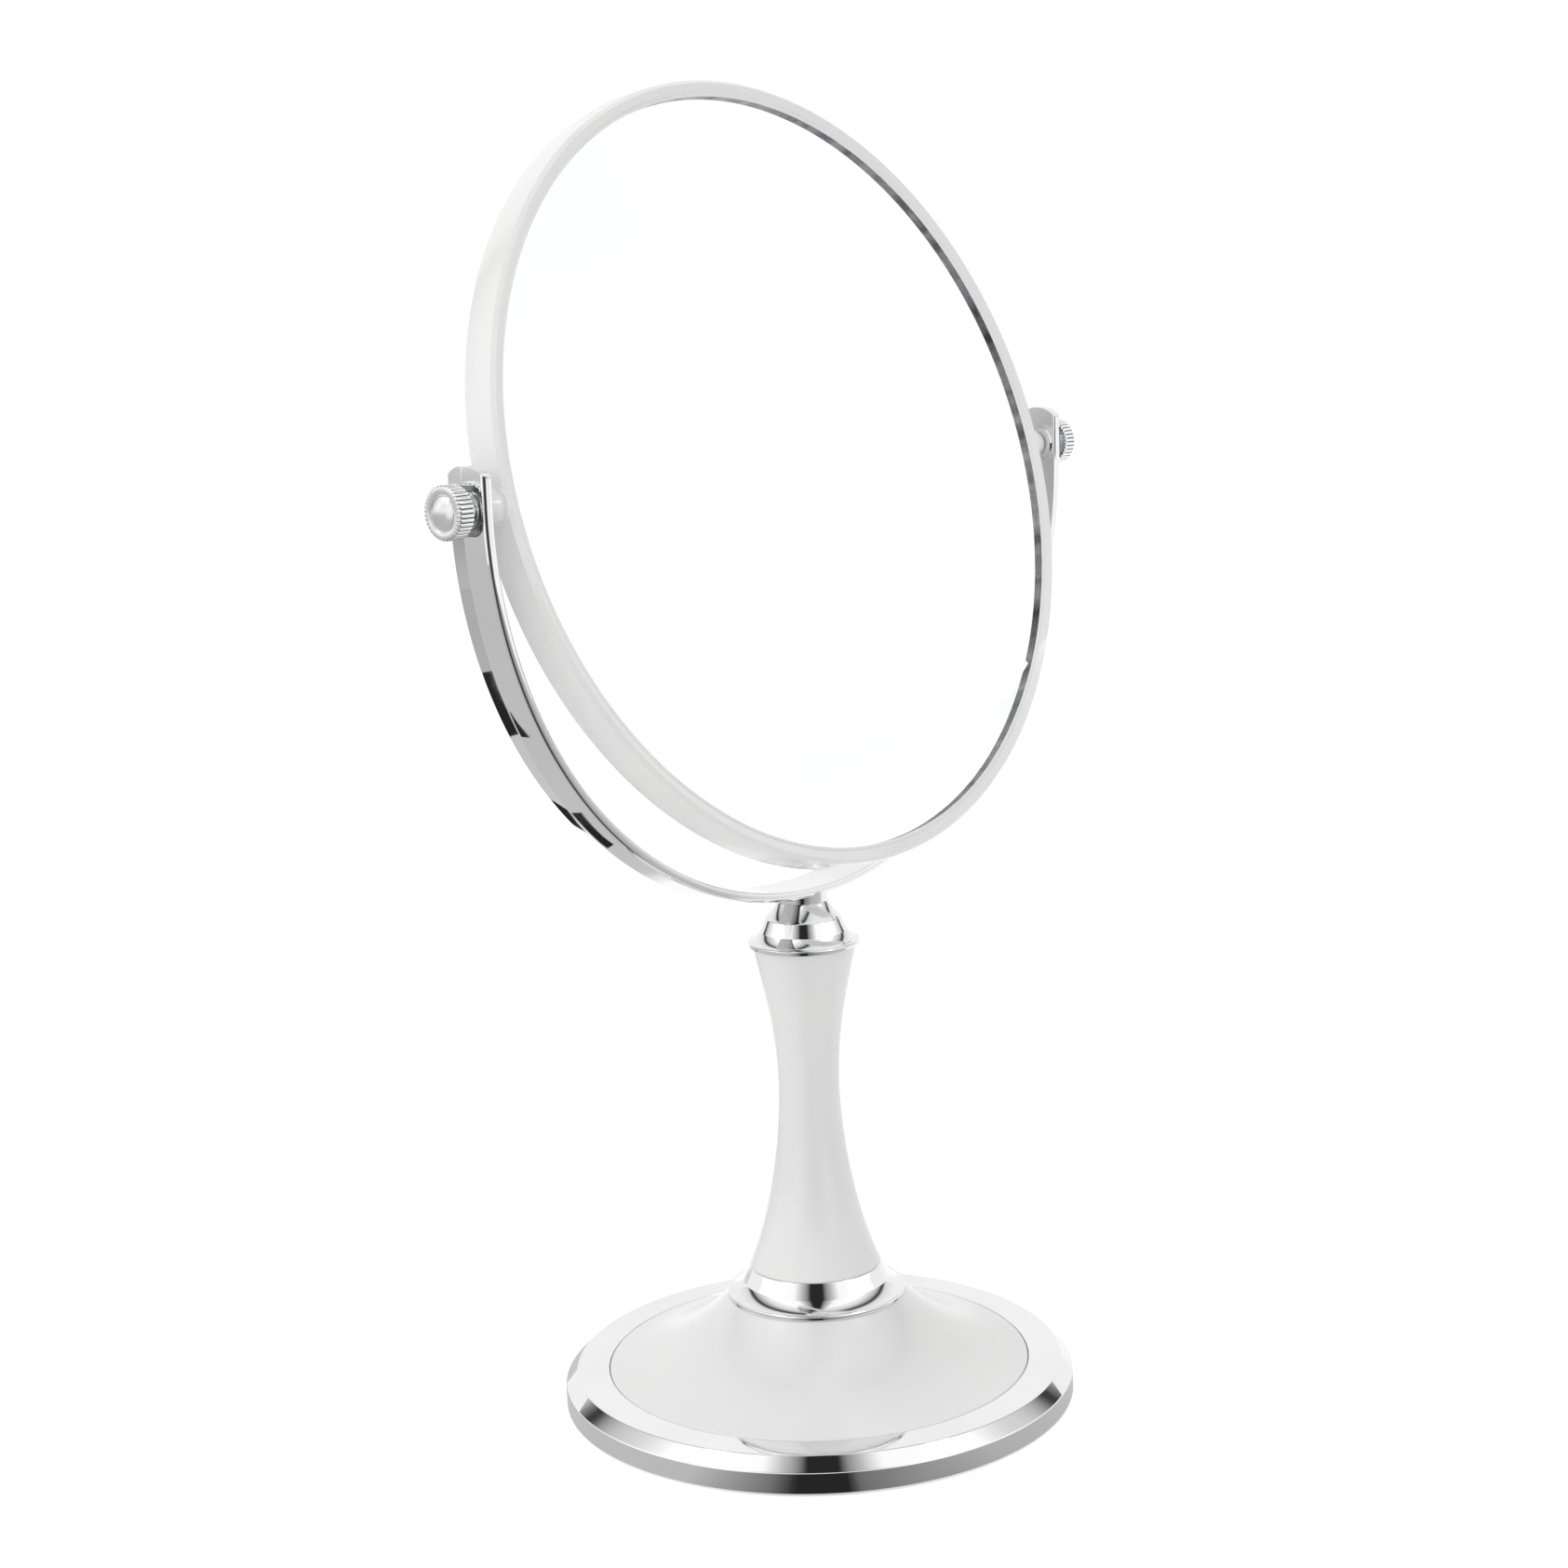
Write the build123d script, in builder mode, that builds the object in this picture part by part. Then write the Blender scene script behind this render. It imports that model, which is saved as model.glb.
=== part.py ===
from build123d import *
import math
import os

# A pedestal vanity mirror, in millimetres. The origin is the centre of the base where it meets
# the table, +Z is up, the front is -Y and the tilting axis lies along X. The head is drawn as it
# stands in the picture, leaning back by mirror_tilt.

# Clearances
running_clearance = 0.05
slip_clearance = 0.1
seam_gap = 0.15
moving_gap = 0.3
hole_clearance = 0.25

# Base
base_radius = 67.0
ring_lift = 0.6
ring_top = 9.2
ring_chamfer = 3.3
ring_flat_width = 8.3
ring_wall = 2.1
pad_thickness = 1.2
pad_inset = 4.5
cover_thickness = 1.8
cover_screw_count = 3
cover_screw_inset = 5.2
cover_boss_radius = 2.8
cover_screw_radius = 1.1
cover_screw_head_radius = 2.3
cover_screw_length = 5.0
cone_height = 18.4
cone_wall = 2.2
cone_cavity_inset = 11.4
cone_flare_radius = 58.0
cone_flange_width = 3.4
cone_flange_thickness = 2.0
weight_hub_radius = 17.0
nut_recess_radius = 7.0
nut_recess_depth = 6.0

# Tie rod
rod_radius = 2.5
rod_end_gap = 0.6
rod_chamfer = 0.4
nut_across_flats = 8.0
nut_height = 4.0
washer_radius = 5.0
washer_thickness = 1.0

# Stem: its curve is led from the foot, the waist and the top by shares of its height, and inwards
# by shares of the way to the waist
stem_height = 85.9
stem_bottom_radius = 17.3
stem_waist_radius = 8.04
stem_top_radius = 13.6
stem_wall = 2.0
stem_waist_share = 0.56
stem_foot_lead_in = 0.84
stem_foot_lead_up = 0.211
stem_waist_lead_down = 0.09
stem_waist_lead_up = 0.15
stem_top_lead_in = 0.696
stem_top_lead_down = 0.189

# Chrome collar and cap at the stem's ends; a bulge is a share of the way along and up its curve
spigot_height = 2.5
spigot_inset = 3.9
spigot_wall = 2.0
lip_height = 1.3
lip_shoulder = 0.9
lip_chamfer = 0.3
collar_width = 6.1
collar_overhang = 0.2
collar_height = 8.0
dome_bulge_out = 0.56
dome_bulge_up = 0.5
cap_overhang = 0.9
cap_step_radius = 9.9
cap_step_height = 7.2
cap_step_in = 0.35
cap_step_rise = 0.25
cap_neck_radius = 6.6
cap_height = 11.6
bell_bulge_out = 0.44
bell_bulge_up = 0.52
neck_bulge_out = 0.4
neck_bulge_up = 0.5

# Mirror head, in its own leaning frame: distances along the face normal are counted from the
# tilting axis, positive towards the plane glass.
mirror_tilt = 15.1
rim_radius = 99.9
rim_front_draft = 0.6
rim_rear_draft = 0.2
rim_front = 5.0
rim_rear = -5.1
rim_corner = 0.9
rim_wall = 1.8
lip_width = 4.6
lip_edge = 3.9
bead_width = 1.0
bead_height = 0.4
lip_slope_start = 4.1
glass_seat = 2.7
glass_thickness = 2.0
glass_edge_gap = 0.4
magnifier_centre_thickness = 1.8
magnifier_sag = 1.8
rear_lip_thickness = 1.3
rear_skirt_wall = 0.9
rear_skirt_length = 2.0
spacer_pad_count = 6
spacer_pad_inset = 17.3
spacer_pad_size = 14.0
insert_radius = 2.7
insert_length = 5.2
pivot_boss_radius = 4.2
pivot_boss_tip_radius = 3.3

# Yoke
rim_to_yoke = 5.1
yoke_edge_thickness = 2.4
yoke_ridge = 1.3
yoke_width = 12.8
yoke_boss_drop = 0.6
yoke_boss_height = 0.8
ear_top = 9.9
ear_shoulder = 7.1
pocket_width = 9.8
pocket_height = 11.5
pocket_corner = 2.0
pocket_floor_thickness = 2.3
seat_radius = 4.8
seat_height = 0.5

# Thumb screws
screw_radius = 2.0
flat_washer_radius = 4.5
flat_washer_thickness = 0.8
spring_washer_radius = 4.0
spring_washer_thickness = 0.95
spring_washer_split = 0.6
knob_neck_radius = 3.2
knob_neck_length = 1.3
knob_radius = 6.25
knob_length = 4.3
knob_dome_radius = 3.9
knob_dome_height = 1.0
knob_groove_width = 0.5
knob_groove_depth = 0.4
knob_screw_grip = 2.6
flute_count = 36
flute_depth = 0.35

# Radii that follow from the sizes above
ring_flat_radius = base_radius - ring_chamfer
ring_inner_radius = ring_flat_radius - ring_flat_width
pad_radius = base_radius - pad_inset
cover_screw_ring = base_radius - cover_screw_inset
cone_edge_radius = ring_inner_radius - seam_gap
cone_cavity_radius = ring_inner_radius - cone_cavity_inset
collar_radius = stem_bottom_radius + collar_width
cone_top_radius = collar_radius - collar_overhang
cap_lip_radius = stem_top_radius + cap_overhang
lower_spigot_radius = stem_bottom_radius - spigot_inset
upper_spigot_radius = stem_top_radius - spigot_inset
rim_front_radius = rim_radius - rim_front_draft
rim_rear_radius = rim_radius - rim_rear_draft
rim_wall_inner = rim_radius - rim_wall
lip_radius = rim_radius - lip_width
yoke_inner_radius = rim_radius + rim_to_yoke
yoke_corner_radius = yoke_inner_radius + yoke_edge_thickness
yoke_ridge_radius = yoke_corner_radius + yoke_ridge

# Heights
cover_bottom = pad_thickness
cover_top = cover_bottom + cover_thickness
ring_wall_top = ring_top - ring_chamfer
ring_underside = ring_top - ring_wall
cone_top = ring_top + cone_height
stem_bottom = cone_top + collar_height
stem_waist = stem_bottom + stem_waist_share * stem_height
stem_top = stem_bottom + stem_height
cap_top = stem_top + cap_height
yoke_underside = cap_top + yoke_boss_drop
pivot_height = yoke_underside + yoke_ridge_radius

# Distances from the middle along the tilting axis
pocket_floor = yoke_inner_radius + pocket_floor_thickness
seat_face = yoke_inner_radius - seat_height
pivot_boss_end = seat_face - moving_gap
flat_washer_top = pocket_floor + flat_washer_thickness
spring_washer_base = flat_washer_top + running_clearance
spring_washer_top = spring_washer_base + spring_washer_thickness
knob_back = spring_washer_top + running_clearance + knob_neck_length
knob_face = knob_back + knob_length

# Distances along the face normal
glass_back = glass_seat - glass_thickness
magnifier_edge = rim_rear + rear_lip_thickness

pivot = Vector(0, 0, pivot_height)
pivot_level = Plane.XY.offset(pivot_height)
front_to_back = Axis(pivot, (0, 1, 0))
sin_tilt = math.sin(math.radians(mirror_tilt))
cos_tilt = math.cos(math.radians(mirror_tilt))
face_normal = Vector(0, -cos_tilt, sin_tilt)
head_axis = Axis(pivot, face_normal)
head_profile = Plane(origin=pivot, x_dir=(0, sin_tilt, cos_tilt), z_dir=(1, 0, 0))

sides = {"left": -1, "right": 1}
cover_screw_places = PolarLocations(cover_screw_ring, cover_screw_count, start_angle=90)


def side_profile(side):
    """The plane for a turned profile on the tilting axis: x runs outwards, y upwards."""
    return Plane(origin=pivot, x_dir=(side, 0, 0), z_dir=(0, -side, 0))


def side_axis(side):
    """The tilting axis, pointing outwards on one side."""
    return Axis(pivot, (side, 0, 0))


def side_section(side, distance):
    """The plane square to the tilting axis at a distance from the middle, facing outwards."""
    return Plane(origin=pivot + Vector(side * distance, 0, 0), x_dir=(0, side, 0), z_dir=(side, 0, 0))


def head_section(distance):
    """The plane square to the mirror's face at a distance in front of the tilting axis."""
    return Plane(origin=pivot + face_normal * distance, x_dir=(1, 0, 0), z_dir=face_normal)


def between(start, end, share):
    """The value a share of the way from one value to another."""
    return start + share * (end - start)


def save(piece, label):
    """Name a finished piece and write it to its own file."""
    piece.part.label = label
    export_step(piece.part, f"parts/{label}.step")


os.makedirs("parts", exist_ok=True)

# Foam pad under the base
with BuildPart() as anti_slip_pad:
    with BuildSketch(Plane.XY):
        Circle(pad_radius)
    extrude(amount=pad_thickness)

# Bottom cover, countersunk for its screws, with an opening under the nut
with BuildPart() as bottom_cover:
    with BuildSketch(Plane.XY.offset(cover_bottom)):
        Circle(base_radius - ring_wall - moving_gap)
        Circle(nut_recess_radius, mode=Mode.SUBTRACT)
    extrude(amount=cover_thickness)
    with Locations(Plane.XY.offset(cover_bottom).rotated((180, 0, 0))):
        with cover_screw_places:
            CounterSinkHole(cover_screw_radius + slip_clearance, cover_screw_head_radius + slip_clearance)

# Screws that hold the cover to the ring, as one group
with BuildPart() as cover_screws:
    with BuildSketch(Plane.XY.offset(cover_bottom)):
        with cover_screw_places:
            Circle(cover_screw_radius)
    extrude(amount=cover_screw_length)
    with BuildSketch(Plane.XY.offset(cover_bottom)):
        with cover_screw_places:
            Circle(cover_screw_head_radius)
    extrude(amount=cover_screw_head_radius - cover_screw_radius, taper=45)

# Chrome ring round the base, with a boss inside for each cover screw
with BuildPart() as base_ring:
    with BuildSketch(Plane.XZ):
        with BuildLine():
            Polyline(
                (base_radius - ring_wall, ring_lift),
                (base_radius, ring_lift),
                (base_radius, ring_wall_top),
                (ring_flat_radius, ring_top),
                (ring_inner_radius, ring_top),
                (ring_inner_radius, ring_underside),
                (ring_flat_radius - ring_wall / 2, ring_underside),
                (base_radius - ring_wall, ring_wall_top - ring_wall / 2),
                close=True,
            )
        make_face()
    revolve(axis=Axis.Z)
    with BuildSketch(Plane.XY.offset(cover_top)):
        with cover_screw_places:
            Circle(cover_boss_radius)
    extrude(until=Until.NEXT)
    with BuildSketch(Plane.XY.offset(cover_top)):
        with cover_screw_places:
            Circle(cover_screw_radius + running_clearance)
    extrude(amount=cover_screw_length - cover_thickness + rod_end_gap, mode=Mode.SUBTRACT)

# White cone: a concave flare on a flange that the ring holds down
flare_start = Vector(cone_edge_radius, ring_top)
flare_end = Vector(cone_top_radius, cone_top)
flare_chord = flare_end - flare_start
flare_middle = (flare_start + flare_end) / 2
flare_across = Vector(flare_chord.Y, -flare_chord.X).normalized()
flare_rise = math.sqrt(cone_flare_radius ** 2 - (flare_chord.length / 2) ** 2)
flare_centre = flare_middle + flare_across * flare_rise


def under_flare(radius):
    """Height one wall below the flare at a radius."""
    reach = cone_flare_radius + cone_wall
    return flare_centre.Y - math.sqrt(reach ** 2 - (flare_centre.X - radius) ** 2)


cone_flange_bottom = ring_underside - cone_flange_thickness
cone_plate_bottom = cone_top - cone_wall
cone_hub_radius = cone_top_radius - cone_wall
cone_step_height = under_flare(cone_cavity_radius)
with BuildPart() as base_cone:
    with BuildSketch(Plane.XZ):
        with BuildLine():
            RadiusArc((flare_start.X, flare_start.Y), (flare_end.X, flare_end.Y), cone_flare_radius)
            Polyline(
                (cone_top_radius, cone_top),
                (rod_radius + hole_clearance, cone_top),
                (rod_radius + hole_clearance, cone_plate_bottom),
                (cone_hub_radius, cone_plate_bottom),
                (cone_hub_radius, cone_step_height),
                (cone_cavity_radius, cone_step_height),
                (cone_cavity_radius, cone_flange_bottom),
                (cone_edge_radius + cone_flange_width, cone_flange_bottom),
                (cone_edge_radius + cone_flange_width, ring_underside),
                (cone_edge_radius, ring_underside),
                (cone_edge_radius, ring_top),
            )
        make_face()
    revolve(axis=Axis.Z)

# Cast weight inside the base, with a hub that carries the cone and a recess for the nut
weight_radius = cone_cavity_radius - moving_gap
with BuildPart() as base_weight:
    with BuildSketch(Plane.XZ):
        with BuildLine():
            Polyline(
                (rod_radius + hole_clearance, cover_top + nut_recess_depth),
                (nut_recess_radius, cover_top + nut_recess_depth),
                (nut_recess_radius, cover_top),
                (weight_radius, cover_top),
                (weight_radius, cone_step_height - moving_gap),
                (weight_hub_radius, cone_step_height - moving_gap),
                (weight_hub_radius, cone_plate_bottom),
                (rod_radius + hole_clearance, cone_plate_bottom),
                close=True,
            )
        make_face()
    revolve(axis=Axis.Z)

# Washer and nut under the weight, and the rod that draws the base, stem and yoke together
rod_bottom = cover_top + rod_end_gap
washer_top = cover_top + nut_recess_depth
with BuildPart() as tie_rod_washer:
    with BuildSketch(Plane.XY.offset(washer_top)):
        Circle(washer_radius)
        Circle(rod_radius + slip_clearance, mode=Mode.SUBTRACT)
    extrude(amount=-washer_thickness)

with BuildPart() as tie_rod_nut:
    with BuildSketch(Plane.XY.offset(washer_top - washer_thickness)):
        RegularPolygon(nut_across_flats / 2, 6, major_radius=False)
        Circle(rod_radius + running_clearance, mode=Mode.SUBTRACT)
    extrude(amount=-nut_height)

rod_top = pivot_height - yoke_inner_radius - rod_end_gap - seat_height
with BuildPart() as tie_rod:
    with BuildSketch(Plane.XY.offset(rod_bottom)):
        Circle(rod_radius)
    extrude(amount=rod_top - rod_bottom)
    chamfer(tie_rod.edges(), rod_chamfer)

# Lower collar: a lip on the cone, a bulging dome and a spigot into the stem
dome_start = collar_radius - lip_shoulder
collar_lip_top = cone_top + lip_height
with BuildPart() as lower_collar:
    with BuildSketch(Plane.XZ):
        with BuildLine():
            Polyline(
                (collar_radius, cone_top),
                (collar_radius, collar_lip_top - lip_chamfer),
                (collar_radius - lip_chamfer, collar_lip_top),
                (dome_start, collar_lip_top),
            )
            ThreePointArc(
                (dome_start, collar_lip_top),
                (between(stem_bottom_radius, dome_start, dome_bulge_out),
                 between(collar_lip_top, stem_bottom, dome_bulge_up)),
                (stem_bottom_radius, stem_bottom),
            )
            Polyline(
                (stem_bottom_radius, stem_bottom),
                (lower_spigot_radius, stem_bottom),
                (lower_spigot_radius, stem_bottom + spigot_height),
                (lower_spigot_radius - spigot_wall, stem_bottom + spigot_height),
                (lower_spigot_radius - spigot_wall, cone_top),
                (collar_radius, cone_top),
            )
        make_face()
    revolve(axis=Axis.Z)

# Stem: a hollow hourglass, with a straight seat at each end for the spigots
lower_seat = lower_spigot_radius + slip_clearance
upper_seat = upper_spigot_radius + slip_clearance
seat_depth = spigot_height + spigot_wall
stem_bore_radius = stem_waist_radius - stem_wall
with BuildPart() as stem:
    with BuildSketch(Plane.XZ):
        with BuildLine():
            Bezier(
                (stem_bottom_radius, stem_bottom),
                (between(stem_bottom_radius, stem_waist_radius, stem_foot_lead_in),
                 stem_bottom + stem_foot_lead_up * stem_height),
                (stem_waist_radius, stem_waist - stem_waist_lead_down * stem_height),
                (stem_waist_radius, stem_waist),
            )
            Bezier(
                (stem_waist_radius, stem_waist),
                (stem_waist_radius, stem_waist + stem_waist_lead_up * stem_height),
                (between(stem_top_radius, stem_waist_radius, stem_top_lead_in),
                 stem_top - stem_top_lead_down * stem_height),
                (stem_top_radius, stem_top),
            )
            Polyline(
                (stem_top_radius, stem_top),
                (upper_seat, stem_top),
                (upper_seat, stem_top - seat_depth),
                (stem_bore_radius, stem_top - seat_depth),
                (stem_bore_radius, stem_bottom + seat_depth),
                (lower_seat, stem_bottom + seat_depth),
                (lower_seat, stem_bottom),
                (stem_bottom_radius, stem_bottom),
            )
        make_face()
    revolve(axis=Axis.Z)

# Upper cap: a lip on the stem, a bell and a neck under the yoke
bell_start = cap_lip_radius - lip_shoulder
cap_lip_top = stem_top + lip_height
step_height = stem_top + cap_step_height
neck_start = cap_step_radius - cap_step_in
neck_bottom = step_height + cap_step_rise
rod_hole = rod_radius + hole_clearance
with BuildPart() as upper_cap:
    with BuildSketch(Plane.XZ):
        with BuildLine():
            Polyline(
                (upper_spigot_radius, stem_top),
                (cap_lip_radius, stem_top),
                (cap_lip_radius, cap_lip_top - lip_chamfer),
                (cap_lip_radius - lip_chamfer, cap_lip_top),
                (bell_start, cap_lip_top),
            )
            ThreePointArc(
                (bell_start, cap_lip_top),
                (between(cap_step_radius, bell_start, bell_bulge_out),
                 between(cap_lip_top, step_height, bell_bulge_up)),
                (cap_step_radius, step_height),
            )
            Line((cap_step_radius, step_height), (neck_start, neck_bottom))
            ThreePointArc(
                (neck_start, neck_bottom),
                (between(cap_neck_radius, neck_start, neck_bulge_out),
                 between(neck_bottom, cap_top, neck_bulge_up)),
                (cap_neck_radius, cap_top),
            )
            Polyline(
                (cap_neck_radius, cap_top),
                (rod_hole, cap_top),
                (rod_hole, step_height - spigot_wall),
                (upper_spigot_radius - spigot_wall, step_height - spigot_wall),
                (upper_spigot_radius - spigot_wall, stem_top - spigot_height),
                (upper_spigot_radius, stem_top - spigot_height),
                (upper_spigot_radius, stem_top),
            )
        make_face()
    revolve(axis=Axis.Z)

# Yoke: half a ring with a ridged back, straight ears and a boss over the cap
half_width = yoke_width / 2
with BuildPart() as yoke:
    with BuildSketch(pivot_level) as arm_section:
        with BuildLine():
            Polyline(
                (yoke_inner_radius, -half_width),
                (yoke_corner_radius, -half_width),
                (yoke_ridge_radius, 0),
                (yoke_corner_radius, half_width),
                (yoke_inner_radius, half_width),
                close=True,
            )
        make_face()
    revolve(axis=front_to_back, revolution_arc=180)
    with BuildSketch(pivot_level):
        add(arm_section.sketch_local)
        mirror(about=Plane.YZ)
    extrude(amount=ear_top)
    with BuildSketch(Plane.YZ):
        with BuildLine():
            ThreePointArc(
                (-half_width, pivot_height + ear_shoulder),
                (0, pivot_height + ear_top),
                (half_width, pivot_height + ear_shoulder),
            )
            Polyline(
                (half_width, pivot_height + ear_shoulder),
                (half_width + ear_top, pivot_height + ear_shoulder),
                (half_width + ear_top, pivot_height + 2 * ear_top),
                (-half_width - ear_top, pivot_height + 2 * ear_top),
                (-half_width - ear_top, pivot_height + ear_shoulder),
                (-half_width, pivot_height + ear_shoulder),
            )
        make_face()
    extrude(amount=2 * yoke_ridge_radius, both=True, mode=Mode.SUBTRACT)
    with BuildSketch(Plane.XY.offset(cap_top)):
        Circle(cap_neck_radius)
    extrude(amount=yoke_boss_height + yoke_ridge + yoke_underside - cap_top)
    for side in sides.values():
        with BuildSketch(side_section(side, seat_face)):
            Circle(seat_radius)
        extrude(amount=seat_height + yoke_edge_thickness / 2)
        with BuildSketch(side_section(side, pocket_floor)):
            RectangleRounded(pocket_width, pocket_height, pocket_corner)
        extrude(amount=yoke_ridge_radius - pocket_floor, mode=Mode.SUBTRACT)
        with Locations(side_section(side, yoke_ridge_radius)):
            Hole(screw_radius + slip_clearance, depth=yoke_ridge_radius - seat_face)
    with BuildSketch(Plane.XY.offset(cap_top)):
        Circle(rod_radius + running_clearance)
    extrude(amount=rod_top + seat_height - cap_top, mode=Mode.SUBTRACT)

# Front rim: the outer band, the lip round the plane glass and the two pivot bosses
with BuildPart() as front_rim:
    with BuildSketch(head_profile):
        with BuildLine():
            Polyline(
                (lip_radius, glass_seat),
                (lip_radius, lip_edge),
                (lip_radius + bead_width / 2, lip_edge + bead_height),
                (lip_radius + bead_width, lip_slope_start),
                (rim_front_radius - rim_corner, rim_front),
                (rim_front_radius, rim_front - rim_corner),
                (rim_radius, 0),
                (rim_rear_radius, rim_rear + rim_corner),
                (rim_rear_radius - rim_corner, rim_rear),
                (rim_wall_inner, rim_rear),
                (rim_wall_inner, glass_seat),
                close=True,
            )
        make_face()
    revolve(axis=head_axis)
    for side in sides.values():
        with BuildSketch(side_profile(side)):
            with BuildLine():
                Polyline(
                    (rim_wall_inner + slip_clearance, 0),
                    (rim_wall_inner + slip_clearance, pivot_boss_radius),
                    (rim_radius, pivot_boss_radius),
                    (pivot_boss_end, pivot_boss_tip_radius),
                    (pivot_boss_end, 0),
                    close=True,
                )
            make_face()
        revolve(axis=side_axis(side))
        with BuildSketch(side_section(side, pivot_boss_end - insert_length)):
            Circle(insert_radius)
        extrude(amount=insert_length, mode=Mode.SUBTRACT)

# Rear rim: the lip round the magnifying glass, with a skirt pushed into the band
rear_outer = rim_wall_inner - running_clearance
skirt_end = magnifier_edge + rear_skirt_length
with BuildPart() as rear_rim:
    with BuildSketch(head_profile):
        with BuildLine():
            Polyline(
                (lip_radius, magnifier_edge),
                (lip_radius, rim_rear + bead_height),
                (lip_radius + bead_width, rim_rear),
                (rear_outer, rim_rear),
                (rear_outer, skirt_end),
                (rear_outer - rear_skirt_wall, skirt_end),
                (rear_outer - rear_skirt_wall, magnifier_edge),
                close=True,
            )
        make_face()
    revolve(axis=head_axis)

# Plane glass at the front
with BuildPart() as plane_glass:
    with BuildSketch(head_section(glass_back)):
        Circle(rim_wall_inner - glass_edge_gap)
    extrude(amount=glass_thickness)

# Magnifying glass at the back: flat inside, dished outside by a sphere
magnifier_radius = rear_outer - rear_skirt_wall - seam_gap
magnifier_front = magnifier_edge + magnifier_sag + magnifier_centre_thickness
dish_radius = (magnifier_radius ** 2 + magnifier_sag ** 2) / (2 * magnifier_sag)
dish_centre = pivot + face_normal * (magnifier_edge + magnifier_sag - dish_radius)
with BuildPart() as magnifying_glass:
    with BuildSketch(head_section(magnifier_edge)):
        Circle(magnifier_radius)
    extrude(amount=magnifier_front - magnifier_edge)
    with Locations(dish_centre):
        Sphere(dish_radius, mode=Mode.SUBTRACT)

# Foam pads between the two glasses, as one group
with BuildPart() as spacer_pads:
    with BuildSketch(head_section(magnifier_front + running_clearance)):
        with PolarLocations(lip_radius - spacer_pad_inset, spacer_pad_count):
            Rectangle(spacer_pad_size, spacer_pad_size)
    extrude(amount=glass_back - magnifier_front - running_clearance)

single_pieces = {
    "anti_slip_pad": anti_slip_pad,
    "bottom_cover": bottom_cover,
    "cover_screws": cover_screws,
    "base_ring": base_ring,
    "base_cone": base_cone,
    "base_weight": base_weight,
    "tie_rod_washer": tie_rod_washer,
    "tie_rod_nut": tie_rod_nut,
    "tie_rod": tie_rod,
    "lower_collar": lower_collar,
    "stem": stem,
    "upper_cap": upper_cap,
    "yoke": yoke,
    "front_rim": front_rim,
    "rear_rim": rear_rim,
    "plane_glass": plane_glass,
    "magnifying_glass": magnifying_glass,
    "spacer_pads": spacer_pads,
}
for label, piece in single_pieces.items():
    save(piece, label)

# Thumb screws, washers and inserts, one set on each side of the head
for name, side in sides.items():
    # Brass insert in the pivot boss
    with BuildPart() as threaded_insert:
        with BuildSketch(side_section(side, pivot_boss_end - insert_length)):
            Circle(insert_radius)
            Circle(screw_radius + running_clearance, mode=Mode.SUBTRACT)
        extrude(amount=insert_length)
    save(threaded_insert, f"threaded_insert_{name}")

    # Flat washer lying in the ear's pocket
    with BuildPart() as flat_washer:
        with BuildSketch(side_section(side, pocket_floor)):
            Circle(flat_washer_radius)
            Circle(screw_radius + slip_clearance, mode=Mode.SUBTRACT)
        extrude(amount=flat_washer_thickness)
    save(flat_washer, f"flat_washer_{name}")

    # Split spring washer under the knob's neck
    with BuildPart() as spring_washer:
        with BuildSketch(side_section(side, spring_washer_base)):
            Circle(spring_washer_radius)
            Circle(screw_radius + slip_clearance, mode=Mode.SUBTRACT)
            with Locations((0, spring_washer_radius)):
                Rectangle(spring_washer_split, spring_washer_radius, mode=Mode.SUBTRACT)
        extrude(amount=spring_washer_thickness)
    save(spring_washer, f"spring_washer_{name}")

    # Steel screw, held fast in the knob
    screw_inner_end = pivot_boss_end - insert_length + seam_gap
    screw_outer_end = knob_back + knob_screw_grip
    with BuildPart() as knob_screw:
        with BuildSketch(side_section(side, screw_inner_end)):
            Circle(screw_radius)
        extrude(amount=screw_outer_end - screw_inner_end)
        chamfer(knob_screw.edges(), rod_chamfer)
    save(knob_screw, f"knob_screw_{name}")

    # Knob: a neck, a fluted grip and a domed face inside a groove
    dome_sphere = (knob_dome_radius ** 2 + knob_dome_height ** 2) / (2 * knob_dome_height)
    groove_floor = knob_face - knob_groove_depth
    flute_side = flute_depth * math.sqrt(2)
    with BuildPart() as knob:
        with BuildSketch(side_section(side, groove_floor)):
            Circle(knob_dome_radius)
        extrude(amount=knob_groove_depth + knob_dome_height)
        with Locations(pivot + Vector(side * (knob_face + knob_dome_height - dome_sphere), 0, 0)):
            Sphere(dome_sphere, rotation=(0, 0, 90), mode=Mode.INTERSECT)
        with BuildSketch(side_section(side, knob_back)) as grip_section:
            Circle(knob_radius)
            with PolarLocations(knob_radius, flute_count):
                Rectangle(flute_side, flute_side, rotation=45, mode=Mode.SUBTRACT)
        extrude(amount=groove_floor - knob_back)
        with BuildSketch(side_section(side, groove_floor)):
            add(grip_section.sketch_local)
            Circle(knob_dome_radius + knob_groove_width, mode=Mode.SUBTRACT)
        extrude(amount=knob_groove_depth)
        with BuildSketch(side_section(side, knob_back)):
            Circle(knob_neck_radius)
        extrude(amount=-knob_neck_length)
        with BuildSketch(side_section(side, knob_back - knob_neck_length)):
            Circle(screw_radius + running_clearance)
        extrude(amount=knob_neck_length + knob_screw_grip, mode=Mode.SUBTRACT)
    save(knob, f"knob_{name}")
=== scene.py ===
import bpy
import math
from mathutils import Matrix, Vector


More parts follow.
